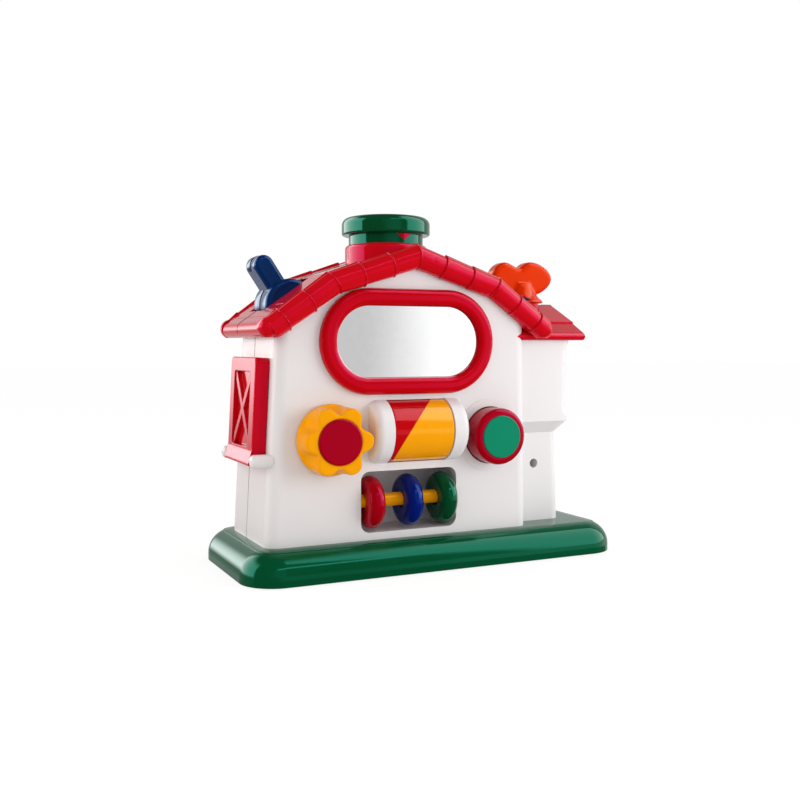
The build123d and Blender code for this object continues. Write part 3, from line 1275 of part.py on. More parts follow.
def make_shutter():
    """The shutter, drawn upright about its pin and then leant against the wall."""
    half = SHUTTER_WIDTH / 2
    out = -SHUTTER_THICK / 2
    low = -SHUTTER_DROP
    high = SHUTTER_HEIGHT - SHUTTER_DROP
    leaf = box(out, -out, -half, half, low, high)
    top_corners = edges_in(leaf, -0.1, 0.1, -half - 1, half + 1, high - 0.1, high + 0.1)
    leaf = fillet(top_corners, SHUTTER_CORNER)
    leaf = fillet(edges_in(leaf, -out - 0.1, -out + 0.1, -1, 1, low - 0.1, low + 0.1), SHUTTER_DROP)
    lip = [(out, low), (out - SHUTTER_LIP, low), (out - SHUTTER_LIP, low + 1.5), (out, low + SHUTTER_FRAME)]
    leaf += prism_xz(lip, -half, half)
    rim = edges_in(leaf, out - 0.1, out + 0.1, -half - 1, half + 1, low + SHUTTER_FRAME + 1, high + 1)
    leaf = fillet(rim, 1.2)

    y1 = half - SHUTTER_FRAME
    z0 = low + SHUTTER_FRAME + SHUTTER_LIP
    z1 = high - SHUTTER_FRAME
    plane = Plane(origin=(out - 1, 0, (z0 + z1) / 2), x_dir=(0, 1, 0), z_dir=(1, 0, 0))
    leaf -= extrude(plane * RectangleRounded(2 * y1, z1 - z0, 2), amount=SHUTTER_RECESS + 1)
    for sign in (-1, 1):
        bar = shutter_brace(sign, -y1, y1, z0, z1)
        leaf += bar & box(-SKY, SKY, -y1 - 1, y1 + 1, z0 - 1, z1 + 1)
    inner = half - SHUTTER_SKIN
    back = Plane(origin=(-out + 1, 0, (SHUTTER_DROP + high) / 2), x_dir=(0, 1, 0), z_dir=(-1, 0, 0))
    mouth = RectangleRounded(2 * inner, high - SHUTTER_DROP - 2 * SHUTTER_SKIN, 3)
    pocket = extrude(back * mouth, amount=1 + SHUTTER_POCKET)
    for y in (-half / 3, half / 3):
        pocket -= box(-SKY, SKY, y - RIB_THICKNESS / 2, y + RIB_THICKNESS / 2, -SKY, SKY)
    leaf -= pocket
    leaf -= rod_y(SHUTTER_PIN + RUNNING_FIT, 0, 0, -SKY, SKY)
    return Pos(pin_x(), SHUTTER_Y, SHUTTER_PIN_Z) * Rot(0, LEFT_LEAN, 0) * leaf


def make_shutter_pin():
    front, back = lug_places()
    return rod_y(SHUTTER_PIN, pin_x(), SHUTTER_PIN_Z, front - 1.8, back + 1.8)


# ---------------------------------------------------------------- all pieces
def build_all():
    roof = make_roof()
    lever = lever_form()
    pieces = {
        "base_tray": make_base_tray(),
        "rubber_feet": make_rubber_feet(),
        "base_screws": make_base_screws(),
        "front_shell": make_front_shell(),
        "back_shell": make_back_shell(),
        "shell_screws": make_shell_screws(),
        "annex_screw": make_annex_screw(),
        "roof_front": front_half(roof),
        "roof_back": back_half(roof),
        "mirror_frame": make_mirror_frame(),
        "mirror_glass": make_mirror_glass(),
        "mirror_backing": make_mirror_backing(),
        "star_knob": make_star_knob(),
        "knob_cap": make_knob_cap(),
        "knob_ratchet": make_knob_ratchet(),
        "knob_screw": make_knob_screw(),
        "click_spring": make_click_spring(),
        "drum_red": make_drum_red(),
        "drum_yellow": make_drum_yellow(),
        "drum_axle": make_drum_axle(),
        "button_body": make_button_body(),
        "button_disc": make_button_disc(),
        "button_spring": make_button_spring(),
        "button_carrier": make_button_carrier(),
        "carrier_screws": make_carrier_screws(),
        "bead_rod": make_bead_rod(),
        "chimney_cap": make_chimney_cap(),
        "chimney_pointer": make_chimney_pointer(),
        "chimney_spring": make_chimney_spring(),
        "chimney_retainer": make_chimney_retainer(),
        "chimney_screw": make_chimney_screw(),
        "lever_front": front_half(lever),
        "lever_back": back_half(lever),
        "lever_axle": make_lever_axle(),
        "wing_key": make_wing_key(),
        "key_pointer": key_pointer_inlay(POINTER_PROUD),
        "key_retainer": make_key_retainer(),
        "key_screw": make_key_screw(),
        "shutter": make_shutter(),
        "shutter_pin": make_shutter_pin(),
    }
    for name, x in BEAD_XS.items():
        pieces[name] = make_bead(x)
    return pieces


os.makedirs("parts", exist_ok=True)
for name, piece in build_all().items():
    export_step(piece, f"parts/{name}.step")
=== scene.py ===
"""The looks of a toddler's activity house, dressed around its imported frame."""
import json
import math

import bmesh
import bpy
from mathutils import Euler, Matrix, Vector

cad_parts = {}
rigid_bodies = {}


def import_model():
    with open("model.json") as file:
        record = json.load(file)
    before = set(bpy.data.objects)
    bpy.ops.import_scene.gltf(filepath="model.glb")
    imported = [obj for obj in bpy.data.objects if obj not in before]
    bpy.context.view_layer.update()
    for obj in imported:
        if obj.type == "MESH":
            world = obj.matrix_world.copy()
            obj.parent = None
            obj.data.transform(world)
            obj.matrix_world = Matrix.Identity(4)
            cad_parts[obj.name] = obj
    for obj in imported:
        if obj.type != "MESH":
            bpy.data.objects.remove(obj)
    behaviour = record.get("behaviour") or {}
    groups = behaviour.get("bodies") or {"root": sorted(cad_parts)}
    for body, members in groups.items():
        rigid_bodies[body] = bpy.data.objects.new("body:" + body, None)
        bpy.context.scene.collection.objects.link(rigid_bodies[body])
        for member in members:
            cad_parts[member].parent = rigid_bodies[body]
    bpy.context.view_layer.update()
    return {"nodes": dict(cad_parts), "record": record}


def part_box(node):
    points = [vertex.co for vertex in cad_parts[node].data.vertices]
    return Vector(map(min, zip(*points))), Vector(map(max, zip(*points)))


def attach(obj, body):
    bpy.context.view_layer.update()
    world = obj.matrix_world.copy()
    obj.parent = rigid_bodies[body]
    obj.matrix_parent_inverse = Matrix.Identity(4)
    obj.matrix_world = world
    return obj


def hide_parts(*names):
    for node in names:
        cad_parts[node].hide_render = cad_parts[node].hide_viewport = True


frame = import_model()
NODES = frame["nodes"]
MM = 0.001

# ---------------------------------------------------------------- view
CAMERA_PLACE = Vector((-321.75, -652.94, 156.83)) * MM
CAMERA_YAW = math.radians(25.5)
CAMERA_DOWN = math.radians(3.25)
CAMERA_LENS = 43.97
CAMERA_NEAR = 0.01
SENSOR = 36.0

# ---------------------------------------------------------------- colours, linear
WHITE = (0.80, 0.775, 0.775)
RED = (0.60, 0.004, 0.010)
RING_RED = (0.52, 0.002, 0.005)
CRIMSON = (0.36, 0.001, 0.006)
BASE_GREEN = (0.002, 0.072, 0.026)
CHIMNEY_GREEN = (0.003, 0.060, 0.018)
DISC_GREEN = (0.003, 0.200, 0.095)
YELLOW = (0.95, 0.37, 0.004)
ORANGE = (0.72, 0.026, 0.001)
BLUE = (0.003, 0.022, 0.110)
RING_BLUE = (0.002, 0.010, 0.165)
INNER_GREY = (0.30, 0.30, 0.31)
RUBBER_GREY = (0.06, 0.06, 0.06)
STEEL = (0.55, 0.55, 0.56)
MIRROR = (0.97, 0.97, 0.975)
SEAM_WHITE = (0.26, 0.23, 0.22)
SEAM_RED = (0.10, 0.001, 0.003)
SEAM_BLUE = (0.002, 0.006, 0.030)

# how far each plastic colours what it mirrors head-on; at grazing angles it mirrors white
RED_TINT = (1.0, 0.05, 0.38)
GREEN_TINT = (0.08, 1.0, 0.75)
YELLOW_TINT = (1.0, 0.85, 0.06)
ORANGE_TINT = (1.0, 0.28, 0.05)
DRUM_RED_TINT = (1.0, 0.35, 0.42)
DRUM_YELLOW_TINT = (1.0, 0.95, 0.45)
BLUE_TINT = (0.15, 0.45, 1.0)

# ---------------------------------------------------------------- surface values
NOISE_LOW = 0.3
NOISE_HIGH = 0.7
EDGE_SAMPLES = 4
PLASTIC_IOR = 1.5
PEEL_DEPTH = 0.1 * MM
SHARP_EDGE = 0.35 * MM
SOFT_EDGE = 1.2 * MM
SEAM_GLOSS = (0.4, 0.5)

# ---------------------------------------------------------------- softened mouldings
SOFT_MOULDINGS = ("star_knob", "wing_key")
SKIN_VOXEL = 0.5 * MM
SKIN_FACTOR = 0.5
SKIN_RELAX = 12
ROUNDED_EDGES = {"lever_front": 0.7 * MM, "lever_back": 0.7 * MM}
ROUNDED_FROM = math.radians(35)
ROUNDED_STEPS = 3
WELD = 0.002 * MM

# ---------------------------------------------------------------- rings
RING_TURNS = 96
RIM_STEPS = 24
FACE_STEPS = 12
RING_HUB = 5.7 * MM
RING_HOLE = 6.0 * MM
RING_HOLE_EDGE = 0.7 * MM
# the middle of the hole's edge, as shares of that edge
HOLE_EDGE_IN = 0.7
HOLE_EDGE_DOWN = 0.3

# ---------------------------------------------------------------- roof
ROOF_X = -19.0 * MM
ROOF_APEX_Z = 224.9 * MM
ROOF_FRONT_Y = -45.2 * MM
ROOF_BACK_Y = 44.3 * MM
UPPER_PITCH = math.radians(17.6)
LOWER_PITCH = math.radians(35.0)
# how far the knees and each eave, left -1 and right 1, stand from the ridge
ROOF_KNEE = 65.3 * MM
ROOF_EAVE = {-1: 113.7 * MM, 1: 110.5 * MM}
# the box that holds the annex eave's rear end, which is cut off
EAVE_END_LOW = (40.0 * MM, 41.8 * MM, 154.0 * MM)
EAVE_END_HIGH = (72.4 * MM, 50.0 * MM, 172.0 * MM)

# ---------------------------------------------------------------- gable tiles and their lips
TILES = 3
LOWER_TILE = 21.7 * MM
TILE_WIDTH = 15.4 * MM
TILE_RISE = 0.4 * MM
TILE_BULGE = 7.0 * MM
TILE_TAPER = 1.4 * MM
TILE_EDGE = 0.5 * MM
TILE_STEPS = 16
BALL_INSET = 7.4 * MM
LIP_RADIUS = 0.55 * MM
LIP_TURN = 1.0 * MM

# ---------------------------------------------------------------- seams
SEAM_Y = 4.0 * MM
SEAM_RADIUS = 0.2 * MM
SEAM_SPACING = 0.4 * MM
SEAM_STEP = 3.0 * MM
SEAM_CLEAR = 0.3 * MM
SEAM_TURN = math.radians(40)
OPEN_AIR = 400.0 * MM
ON_PLANE = 0.01 * MM
MEETING = 0.01 * MM
TINY = 0.001 * MM
SIDE_FACING = 0.7
WIRE_ROUND = 3

# ---------------------------------------------------------------- foot tray
BASE_CORNER = 25.0 * MM
BASE_LIP_INSET = 11.0 * MM
BASE_LIP_Z = 21.1 * MM
BASE_LIP_RADIUS = 0.45 * MM
CORNER_STEPS = 10

# ---------------------------------------------------------------- studio values
SKY = 0.71
FLOOR_REACH = 6.0
FLOOR_WHITE = (0.9, 0.9, 0.9, 1)
FLOOR_GLOW = 1.08
FLOOR_SHARE = 0.8
LAMP_TARGET = Vector((0, 0, 0.11))
ROOM_DARK = 0.03

# The cards of the room that glossy surfaces see: light, bearings and heights. Both are in degrees:
# low, high, and how wide the low and the high edge fade. Bearing 0 is in front and 90 to the right.
CARDS = (
    (0.5, (-25, 15, 30, 10), (4, 34, 5, 12)),  # low in front
    (4.8, (-12, 33, 6, 3), (37, 42, 3, 4)),  # a bright strip above it
    (0.55, (-5, 100, 20, 3), (-10, 5, 5, 5)),  # the table to the right
    (0.55, (26, 100, 6, 3), (-10, 5, 5, 5)),  # its brighter part
    (3.6, (33, 96, 4, 3), (5, 66, 4, 14)),  # right window
    (0.7, (100, 200, 4, 1), (-60, 50, 30, 40)),  # back, up to bearing 180
    (0.7, (-200, -165, 1, 12), (-60, 50, 30, 40)),  # back, from bearing -180
    (4.7, (-165, -88, 12, 2), (-1, 45, 10, 20)),  # left window
    (0.25, (-165, -88, 12, 2), (-50, -3, 30, 12)),  # below that window
)


# ---------------------------------------------------------------- material parts
def new_material(name):
    """A new material with only its Principled shader and output: (material, nodes, links, shader)."""
    material = bpy.data.materials.new(name)
    material.use_nodes = True
    nodes, links = material.node_tree.nodes, material.node_tree.links
    return material, nodes, links, nodes["Principled BSDF"]


def noise(nodes, links, place, scale, detail):
    texture = nodes.new("ShaderNodeTexNoise")
    texture.inputs["Scale"].default_value = scale
    texture.inputs["Detail"].default_value = detail
    links.new(place, texture.inputs["Vector"])
    return texture.outputs["Fac"]


def ramp_range(nodes, links, value, low, high):
    """A noise value, from NOISE_LOW to NOISE_HIGH, spread from low to high."""
    spread = nodes.new("ShaderNodeMapRange")
    spread.inputs["From Min"].default_value = NOISE_LOW
    spread.inputs["From Max"].default_value = NOISE_HIGH
    spread.inputs["To Min"].default_value = low
    spread.inputs["To Max"].default_value = high
    links.new(value, spread.inputs["Value"])
    return spread.outputs["Result"]


def two_tones(nodes, links, value, colour, spread):
    """The colour, a little darker to a little lighter as a noise value rises."""
    mix = nodes.new("ShaderNodeMix")
    mix.data_type = "RGBA"
    mix.inputs["A"].default_value = (*[c * (1 - spread) for c in colour], 1)
    mix.inputs["B"].default_value = (*[min(1, c * (1 + spread)) for c in colour], 1)
    links.new(ramp_range(nodes, links, value, 0, 1), mix.inputs["Factor"])
    return mix.outputs["Result"]


def bump(nodes, links, height, strength, distance, normal=None):
    relief = nodes.new("ShaderNodeBump")
    relief.inputs["Strength"].default_value = strength
    relief.inputs["Distance"].default_value = distance
    links.new(height, relief.inputs["Height"])
    if normal is not None:
        links.new(normal, relief.inputs["Normal"])
    return relief.outputs["Normal"]


def soft_edges(nodes, radius):
    edge = nodes.new("ShaderNodeBevel")
    edge.samples = EDGE_SAMPLES
    edge.inputs["Radius"].default_value = radius
    return edge.outputs["Normal"]


# ---------------------------------------------------------------- materials
def moulded_plastic(
    name, colour, gloss=(0.06, 0.11), tone=0.03, peel=0.02, edge=SHARP_EDGE, tint=(1, 1, 1), shine=0.5
):
    """Glossy injection-moulded plastic: faint flow tones, uneven polish and an orange-peel skin."""
    material, nodes, links, shader = new_material(name)
    place = nodes.new("ShaderNodeTexCoord").outputs["Object"]
    flow = noise(nodes, links, place, scale=18, detail=2)
    polish = noise(nodes, links, place, scale=60, detail=3)
    skin = noise(nodes, links, place, scale=260, detail=1)
    links.new(two_tones(nodes, links, flow, colour, tone), shader.inputs["Base Color"])
    links.new(ramp_range(nodes, links, polish, *gloss), shader.inputs["Roughness"])
    normal = bump(nodes, links, skin, peel, PEEL_DEPTH, soft_edges(nodes, edge) if edge else None)
    links.new(normal, shader.inputs["Normal"])
    shader.inputs["IOR"].default_value = PLASTIC_IOR
    shader.inputs["Specular IOR Level"].default_value = shine
    shader.inputs["Specular Tint"].default_value = (*tint, 1)
    return material


def mirror_film(name):
    """Metallised plastic sheet: bright, with a slow ripple and faint rub marks."""
    material, nodes, links, shader = new_material(name)
    place = nodes.new("ShaderNodeTexCoord").outputs["Object"]
    ripple = noise(nodes, links, place, scale=14, detail=1)
    rub = noise(nodes, links, place, scale=160, detail=5)
    links.new(two_tones(nodes, links, rub, MIRROR, spread=0.012), shader.inputs["Base Color"])
    links.new(ramp_range(nodes, links, rub, low=0.02, high=0.07), shader.inputs["Roughness"])
    links.new(bump(nodes, links, ripple, strength=0.25, distance=0.6 * MM), shader.inputs["Normal"])
    shader.inputs["Metallic"].default_value = 1.0
    return material


def steel(name, colour, grain=900):
    """Turned or drawn steel with fine brushed grain."""
    material, nodes, links, shader = new_material(name)
    place = nodes.new("ShaderNodeTexCoord").outputs["Object"]
    grains = noise(nodes, links, place, scale=grain, detail=4)
    links.new(two_tones(nodes, links, grains, colour, spread=0.12), shader.inputs["Base Color"])
    links.new(ramp_range(nodes, links, grains, low=0.22, high=0.38), shader.inputs["Roughness"])
    links.new(bump(nodes, links, grains, strength=0.15, distance=0.05 * MM), shader.inputs["Normal"])
    shader.inputs["Metallic"].default_value = 1.0
    return material


def rubber(name, colour):
    """Matt rubber with a fine grain."""
    material, nodes, links, shader = new_material(name)
    place = nodes.new("ShaderNodeTexCoord").outputs["Object"]
    grains = noise(nodes, links, place, scale=1500, detail=3)
    links.new(two_tones(nodes, links, grains, colour, spread=0.25), shader.inputs["Base Color"])
    links.new(ramp_range(nodes, links, grains, low=0.65, high=0.85), shader.inputs["Roughness"])
    links.new(bump(nodes, links, grains, strength=0.3, distance=0.1 * MM), shader.inputs["Normal"])
    return material


def make_materials():
    """One material for each of the record's slots, and those that a single node needs."""
    return {
        "green_base": moulded_plastic("green_base", BASE_GREEN, tint=GREEN_TINT, shine=0.36),
        "green_gloss": moulded_plastic("green_gloss", CHIMNEY_GREEN, (0.04, 0.07), tint=GREEN_TINT),
        "white_shell": moulded_plastic(
            "white_shell", WHITE, (0.25, 0.265), tone=0.004, peel=0.01, edge=0, shine=0.35
        ),
        "red_roof": moulded_plastic("red_roof", RED, (0.08, 0.11), peel=0.01, edge=0, tint=RED_TINT),
        "red_gloss": moulded_plastic("red_gloss", RING_RED, tint=RED_TINT),
        "yellow_gloss": moulded_plastic("yellow_gloss", YELLOW, (0.10, 0.16), tint=YELLOW_TINT),
        "orange_gloss": moulded_plastic("orange_gloss", ORANGE, (0.10, 0.16), tint=ORANGE_TINT),
        "blue_gloss": moulded_plastic("blue_gloss", BLUE, (0.08, 0.12), tint=BLUE_TINT),
        "mirror_film": mirror_film("mirror_film"),
        "grey_inner": moulded_plastic("grey_inner", INNER_GREY, (0.4, 0.55), peel=0.08),
        "grey_rubber": rubber("grey_rubber", RUBBER_GREY),
        "screw_steel": steel("screw_steel", STEEL),
        "spring_steel": steel("spring_steel", STEEL, grain=1400),
        "crimson_gloss": moulded_plastic("crimson_gloss", CRIMSON, tint=RED_TINT),
        "disc_green": moulded_plastic("disc_green", DISC_GREEN, (0.14, 0.20), tint=GREEN_TINT),
        "ring_blue": moulded_plastic("ring_blue", RING_BLUE, tint=BLUE_TINT),
        "shutter_red": moulded_plastic(
            "shutter_red", RED, (0.08, 0.11), peel=0.01, edge=SOFT_EDGE, tint=RED_TINT
        ),
        "drum_red": moulded_plastic("drum_red", RING_RED, tint=DRUM_RED_TINT),
        "drum_yellow": moulded_plastic("drum_yellow", YELLOW, tint=DRUM_YELLOW_TINT),
        "knob_yellow": moulded_plastic(
            "knob_yellow", YELLOW, (0.22, 0.30), edge=SOFT_EDGE, tint=YELLOW_TINT, shine=0.1
        ),
        "seam_white": moulded_plastic("seam_white", SEAM_WHITE, SEAM_GLOSS),
        "seam_red": moulded_plastic("seam_red", SEAM_RED, SEAM_GLOSS),
        "seam_blue": moulded_plastic("seam_blue", SEAM_BLUE, SEAM_GLOSS),
    }


OWN_MATERIAL = {
    "star_knob": "knob_yellow",
    "shutter": "shutter_red",
    "drum_red": "drum_red",
    "drum_yellow": "drum_yellow",
    "knob_cap": "crimson_gloss",
    "button_body": "crimson_gloss",
    "bead_red": "crimson_gloss",
    "button_disc": "disc_green",
    "bead_blue": "ring_blue",
}


def node_material(materials, slots, name):
    return materials[OWN_MATERIAL.get(name, slots[name])]


def frame_body(name):
    """The body that a CAD node rides on."""
    return NODES[name].parent.name.removeprefix("body:")


def weld(node):
    """Joins the faces of a CAD mesh where their corners meet."""
    joined = node.modifiers.new("weld", "WELD")
    joined.merge_threshold = WELD


def soften(node):
    """Rounds a moulding's edges as its tool does: an even skin, relaxed a little."""
    skin = node.modifiers.new("skin", "REMESH")
    skin.mode = "VOXEL"
    skin.voxel_size = SKIN_VOXEL
    skin.use_smooth_shade = True
    relax = node.modifiers.new("relax", "SMOOTH")
    relax.factor = SKIN_FACTOR
    relax.iterations = SKIN_RELAX


def round_edges(node, width):
    """Rounds the sharp edges of a moulding, once its faces are joined."""
    weld(node)
    bevel = node.modifiers.new("round", "BEVEL")
    bevel.width = width
    bevel.segments = ROUNDED_STEPS
    bevel.limit_method = "ANGLE"
    bevel.angle_limit = ROUNDED_FROM
    bevel.use_clamp_overlap = True


def dress_nodes(materials, slots):
    """Gives each CAD node its material, and the hand-sized mouldings their soft edges."""
    for name, node in NODES.items():
        node.data.materials.clear()
        node.data.materials.append(node_material(materials, slots, name))
    for name in SOFT_MOULDINGS:
        soften(NODES[name])
    for name, width in ROUNDED_EDGES.items():
        round_edges(NODES[name], width)


# ---------------------------------------------------------------- detail pieces
def place_piece(piece, material, body):
    bpy.context.scene.collection.objects.link(piece)
    piece.data.materials.append(material)
    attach(piece, body)


def mesh_object(name, shape):
    """An object of a bmesh, which is freed."""
    mesh = bpy.data.meshes.new(name)
    shape.to_mesh(mesh)
    shape.free()
    return bpy.data.objects.new(name, mesh)


def wires(name, paths, radius):
    """Round wire along each path, a list of points. A path that ends where it starts is closed."""
    data = bpy.data.curves.new(name, "CURVE")
    data.dimensions = "3D"
    data.bevel_depth = radius
    data.bevel_resolution = WIRE_ROUND
    data.use_fill_caps = True
    for path in paths:
        closed = (Vector(path[0]) - Vector(path[-1])).length < radius
        points = path[:-1] if closed else path
        spline = data.splines.new("POLY")
        spline.points.add(len(points) - 1)
        for point, place in zip(spline.points, points):
            point.co = (*place, 1)
        spline.use_cyclic_u = closed
    return bpy.data.objects.new(name, data)


def lathe(name, profile):
    """A mesh turned about X from a closed profile of (radius, x)."""
    shape = bmesh.new()
    rings = []
    for n in range(RING_TURNS):
        angle = math.tau * n / RING_TURNS
        rings.append([shape.verts.new((x, r * math.cos(angle), r * math.sin(angle))) for r, x in profile])
    for n, ring in enumerate(rings):
        following = rings[(n + 1) % RING_TURNS]
        for k in range(len(profile)):
            after = (k + 1) % len(profile)
            shape.faces.new((ring[k], ring[after], following[after], following[k]))
    bmesh.ops.recalc_face_normals(shape, faces=shape.faces)
    for face in shape.faces:
        face.smooth = True
    return mesh_object(name, shape)


# ---------------------------------------------------------------- rings
def ring_profile(tube, crest):
    """Half-round outside, and each face eased from the crest down to a level hub round the hole."""
    outer = [math.pi / 2 - math.pi * n / RIM_STEPS for n in range(RIM_STEPS + 1)]
    rim = [(crest + tube * math.cos(a), tube * math.sin(a)) for a in outer]
    face = []
    for n in reversed(range(FACE_STEPS)):
        part = n / FACE_STEPS
        ease = math.sin(math.pi / 2 * part) ** 2
        face.append((RING_HOLE + (crest - RING_HOLE) * part, RING_HUB + (tube - RING_HUB) * ease))
    hole = [
        (RING_HOLE - RING_HOLE_EDGE * HOLE_EDGE_IN, RING_HUB - RING_HOLE_EDGE * HOLE_EDGE_DOWN),
        (RING_HOLE - RING_HOLE_EDGE, RING_HUB - RING_HOLE_EDGE),
    ]
    right = face + hole
    left = [(r, -x) for r, x in right]
    return rim + left + right[::-1]


def make_rings(materials, slots):
    """The three rings with their eased faces, each over its own plain solid."""
    for name in ("bead_red", "bead_blue", "bead_green"):
        low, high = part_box(name)
        middle = (Vector(low) + Vector(high)) / 2
        tube = (high[0] - low[0]) / 2
        crest = (high[2] - low[2]) / 2 - tube
        piece = lathe("ring_" + name.removeprefix("bead_"), ring_profile(tube, crest))
        piece.data.transform(Matrix.Translation(middle))
        place_piece(piece, node_material(materials, slots, name), frame_body(name))
        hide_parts(name)


# ---------------------------------------------------------------- roof
def make_rear_roof(materials):
    """The rear roof half, its annex eave ending at the house's side wall."""
    low, high = Vector(EAVE_END_LOW), Vector(EAVE_END_HIGH)
    place = Matrix.Translation((low + high) / 2) @ Matrix.Diagonal((*(high - low), 1))
    block = bmesh.new()
    bmesh.ops.create_cube(block, size=1)
    bmesh.ops.transform(block, matrix=place, verts=block.verts)
    cutter = mesh_object("cutter", block)
    whole = bpy.data.objects.new("whole", NODES["roof_back"].data.copy())
    for helper in (cutter, whole):
        bpy.context.scene.collection.objects.link(helper)
    weld(whole)
    cut = whole.modifiers.new("cut", "BOOLEAN")
    cut.operation = "DIFFERENCE"
    cut.solver = "EXACT"
    cut.object = cutter
    view = bpy.context.evaluated_depsgraph_get()
    mesh = bpy.data.meshes.new_from_object(whole.evaluated_get(view))
    for helper in (cutter, whole):
        bpy.data.objects.remove(helper)
    mesh.materials.clear()
    piece = bpy.data.objects.new("rear_roof", mesh)
    place_piece(piece, materials["red_roof"], frame_body("roof_back"))
    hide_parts("roof_back")


def tile_arc(bulge, half_width):
    """Points of a tile's round front, as (out of the gable, up the section), from foot to crest."""
    radius = (half_width ** 2 + bulge ** 2) / (2 * bulge)
    sweep = math.asin(min(1, half_width / radius))
    angles = [-sweep + 2 * sweep * n / TILE_STEPS for n in range(TILE_STEPS + 1)]
    return [(bulge - radius + radius * math.cos(a), radius * math.sin(a)) for a in angles]


def tile_lip(corner, way, up, face, start, end):
    """One tile's moulded edge: along its crest up to its uphill end, and round that end."""
    half = (TILE_WIDTH + TILE_TAPER) / 2
    middle = TILE_RISE - TILE_WIDTH / 2

    def spot(along, out, rise):
        x = corner[0] + way[0] * along + up[0] * rise
        z = corner[1] + way[1] * along + up[1] * rise
        return (x, face[0] + face[1] * out, z)

    crest = [spot(end, 0, middle + TILE_WIDTH / 2), spot(start + LIP_TURN, 0, middle + half)]
    arc = reversed(tile_arc(TILE_BULGE + TILE_TAPER / 2, half))
    return crest + [spot(start, out, middle + rise) for out, rise in arc]


def gable_lips(face):
    """The lips on one gable: one at each joint between its tiles, and one at the ridge."""
    ridge = (ROOF_X, ROOF_APEX_Z)
    upper_tile = ROOF_KNEE / math.cos(UPPER_PITCH) / TILES
    paths = []
    for side in (-1, 1):
        knee = (ROOF_X + side * ROOF_KNEE, ROOF_APEX_Z - ROOF_KNEE * math.tan(UPPER_PITCH))
        eave_reach = (ROOF_EAVE[side] - BALL_INSET - ROOF_KNEE) / math.cos(LOWER_PITCH)
        for corner, pitch, tile, first, reach in (
            (ridge, UPPER_PITCH, upper_tile, 1, TILES * upper_tile),
            (knee, LOWER_PITCH, LOWER_TILE, 0, eave_reach),
        ):
            way = (side * math.cos(pitch), -math.sin(pitch))
            up = (side * math.sin(pitch), math.cos(pitch))
            for n in range(first, TILES):
                end = min((n + 1) * tile, reach)
                paths.append(tile_lip(corner, way, up, face, n * tile + TILE_EDGE, end))
    upright = (0, 1 / math.cos(UPPER_PITCH))
    paths.append(tile_lip(ridge, (1, 0), upright, face, 0, LIP_TURN)[1:])
    return paths


def make_tile_lips(materials):
    """The lips on both gables, each set riding with its own roof half."""
    for name, node, face in (
        ("tile_lips_front", "roof_front", (ROOF_FRONT_Y, -1)),
        ("tile_lips_back", "roof_back", (ROOF_BACK_Y, 1)),
    ):
        piece = wires(name, gable_lips(face), LIP_RADIUS)
        place_piece(piece, materials["red_roof"], frame_body(node))


# ---------------------------------------------------------------- seams
def outer_edges(node, y):
    """Chains of the node's edges that lie in the plane y and face the open air."""
    shape = bmesh.new()
    shape.from_mesh(node.data)
    bmesh.ops.remove_doubles(shape, verts=shape.verts, dist=TINY)
    view = bpy.context.evaluated_depsgraph_get()
    kept = []
    for edge in shape.edges:
        if any(abs(v.co.y - y) > ON_PLANE for v in edge.verts) or edge.calc_length() < TINY:
            continue
        sides = [f.normal for f in edge.link_faces if abs(f.normal.y) < SIDE_FACING]
        if not sides:
            continue
        a, b = (v.co for v in edge.verts)
        count = math.ceil((b - a).length / SEAM_STEP)
        for n in range(count):
            part = [a.lerp(b, n / count), a.lerp(b, (n + 1) / count)]
            start = (part[0] + part[1]) / 2 + sides[0] * SEAM_CLEAR
            if not bpy.context.scene.ray_cast(view, start, sides[0], distance=OPEN_AIR)[0]:
                kept.append([tuple(point) for point in part])
    shape.free()
    return chains(kept)


def key(point):
    """The point's place on a grid of MEETING, the same for points that meet."""
    return tuple(round(c / MEETING) for c in point)


def chains(pieces):
    """Joins two-point pieces end to end into as few paths as they make."""
    ends = {}
    for n, piece in enumerate(pieces):
        for point in piece:
            ends.setdefault(key(point), []).append(n)
    left = set(range(len(pieces)))
    paths = []
    while left:
        path = list(pieces[left.pop()])
        for _ in range(2):
            while True:
                following = [n for n in ends[key(path[-1])] if n in left]
                if not following:
                    break
                left.discard(following[0])
                a, b = pieces[following[0]]
                path.append(b if key(a) == key(path[-1]) else a)
            path.reverse()
        paths.append(path)
    return paths


def smooth_runs(path):
    """The path without its crowded points, cut where it turns a corner."""
    spaced = [Vector(path[0])]
    for point in path[1:]:
        if (Vector(point) - spaced[-1]).length > SEAM_SPACING:
            spaced.append(Vector(point))
    runs = [spaced[:2]]
    for before, point, after in zip(spaced, spaced[1:], spaced[2:]):
        if (point - before).angle(after - point) > SEAM_TURN:
            runs.append([point])
        runs[-1].append(after)
    return [run for run in runs if len(run) > 1]


def make_seams(materials):
    """The fine dark parting lines where two halves meet."""
    for name, node, look, slot in (
        ("house_seam", "front_shell", "seam_white", "white_shell"),
        ("roof_seam", "roof_front", "seam_red", "red_roof"),
        ("lever_seam", "lever_front", "seam_blue", "blue_gloss"),
    ):
        paths = [part for path in outer_edges(NODES[node], SEAM_Y) for part in smooth_runs(path)]
        piece = wires(name, paths, SEAM_RADIUS)
        place_piece(piece, materials[look], frame_body(node))


# ---------------------------------------------------------------- foot tray
def rounded_outline(half_x, half_y, corner, z):
    """A closed rounded rectangle at height z, round the middle of the footprint."""
    path = []
    for quarter, (x, y) in enumerate(((1, 1), (-1, 1), (-1, -1), (1, -1))):
        for n in range(CORNER_STEPS + 1):
            angle = math.pi / 2 * (quarter + n / CORNER_STEPS)
            across = x * (half_x - corner) + corner * math.cos(angle)
            along = y * (half_y - corner) + corner * math.sin(angle)
            path.append((across, along, z))
    return path + path[:1]


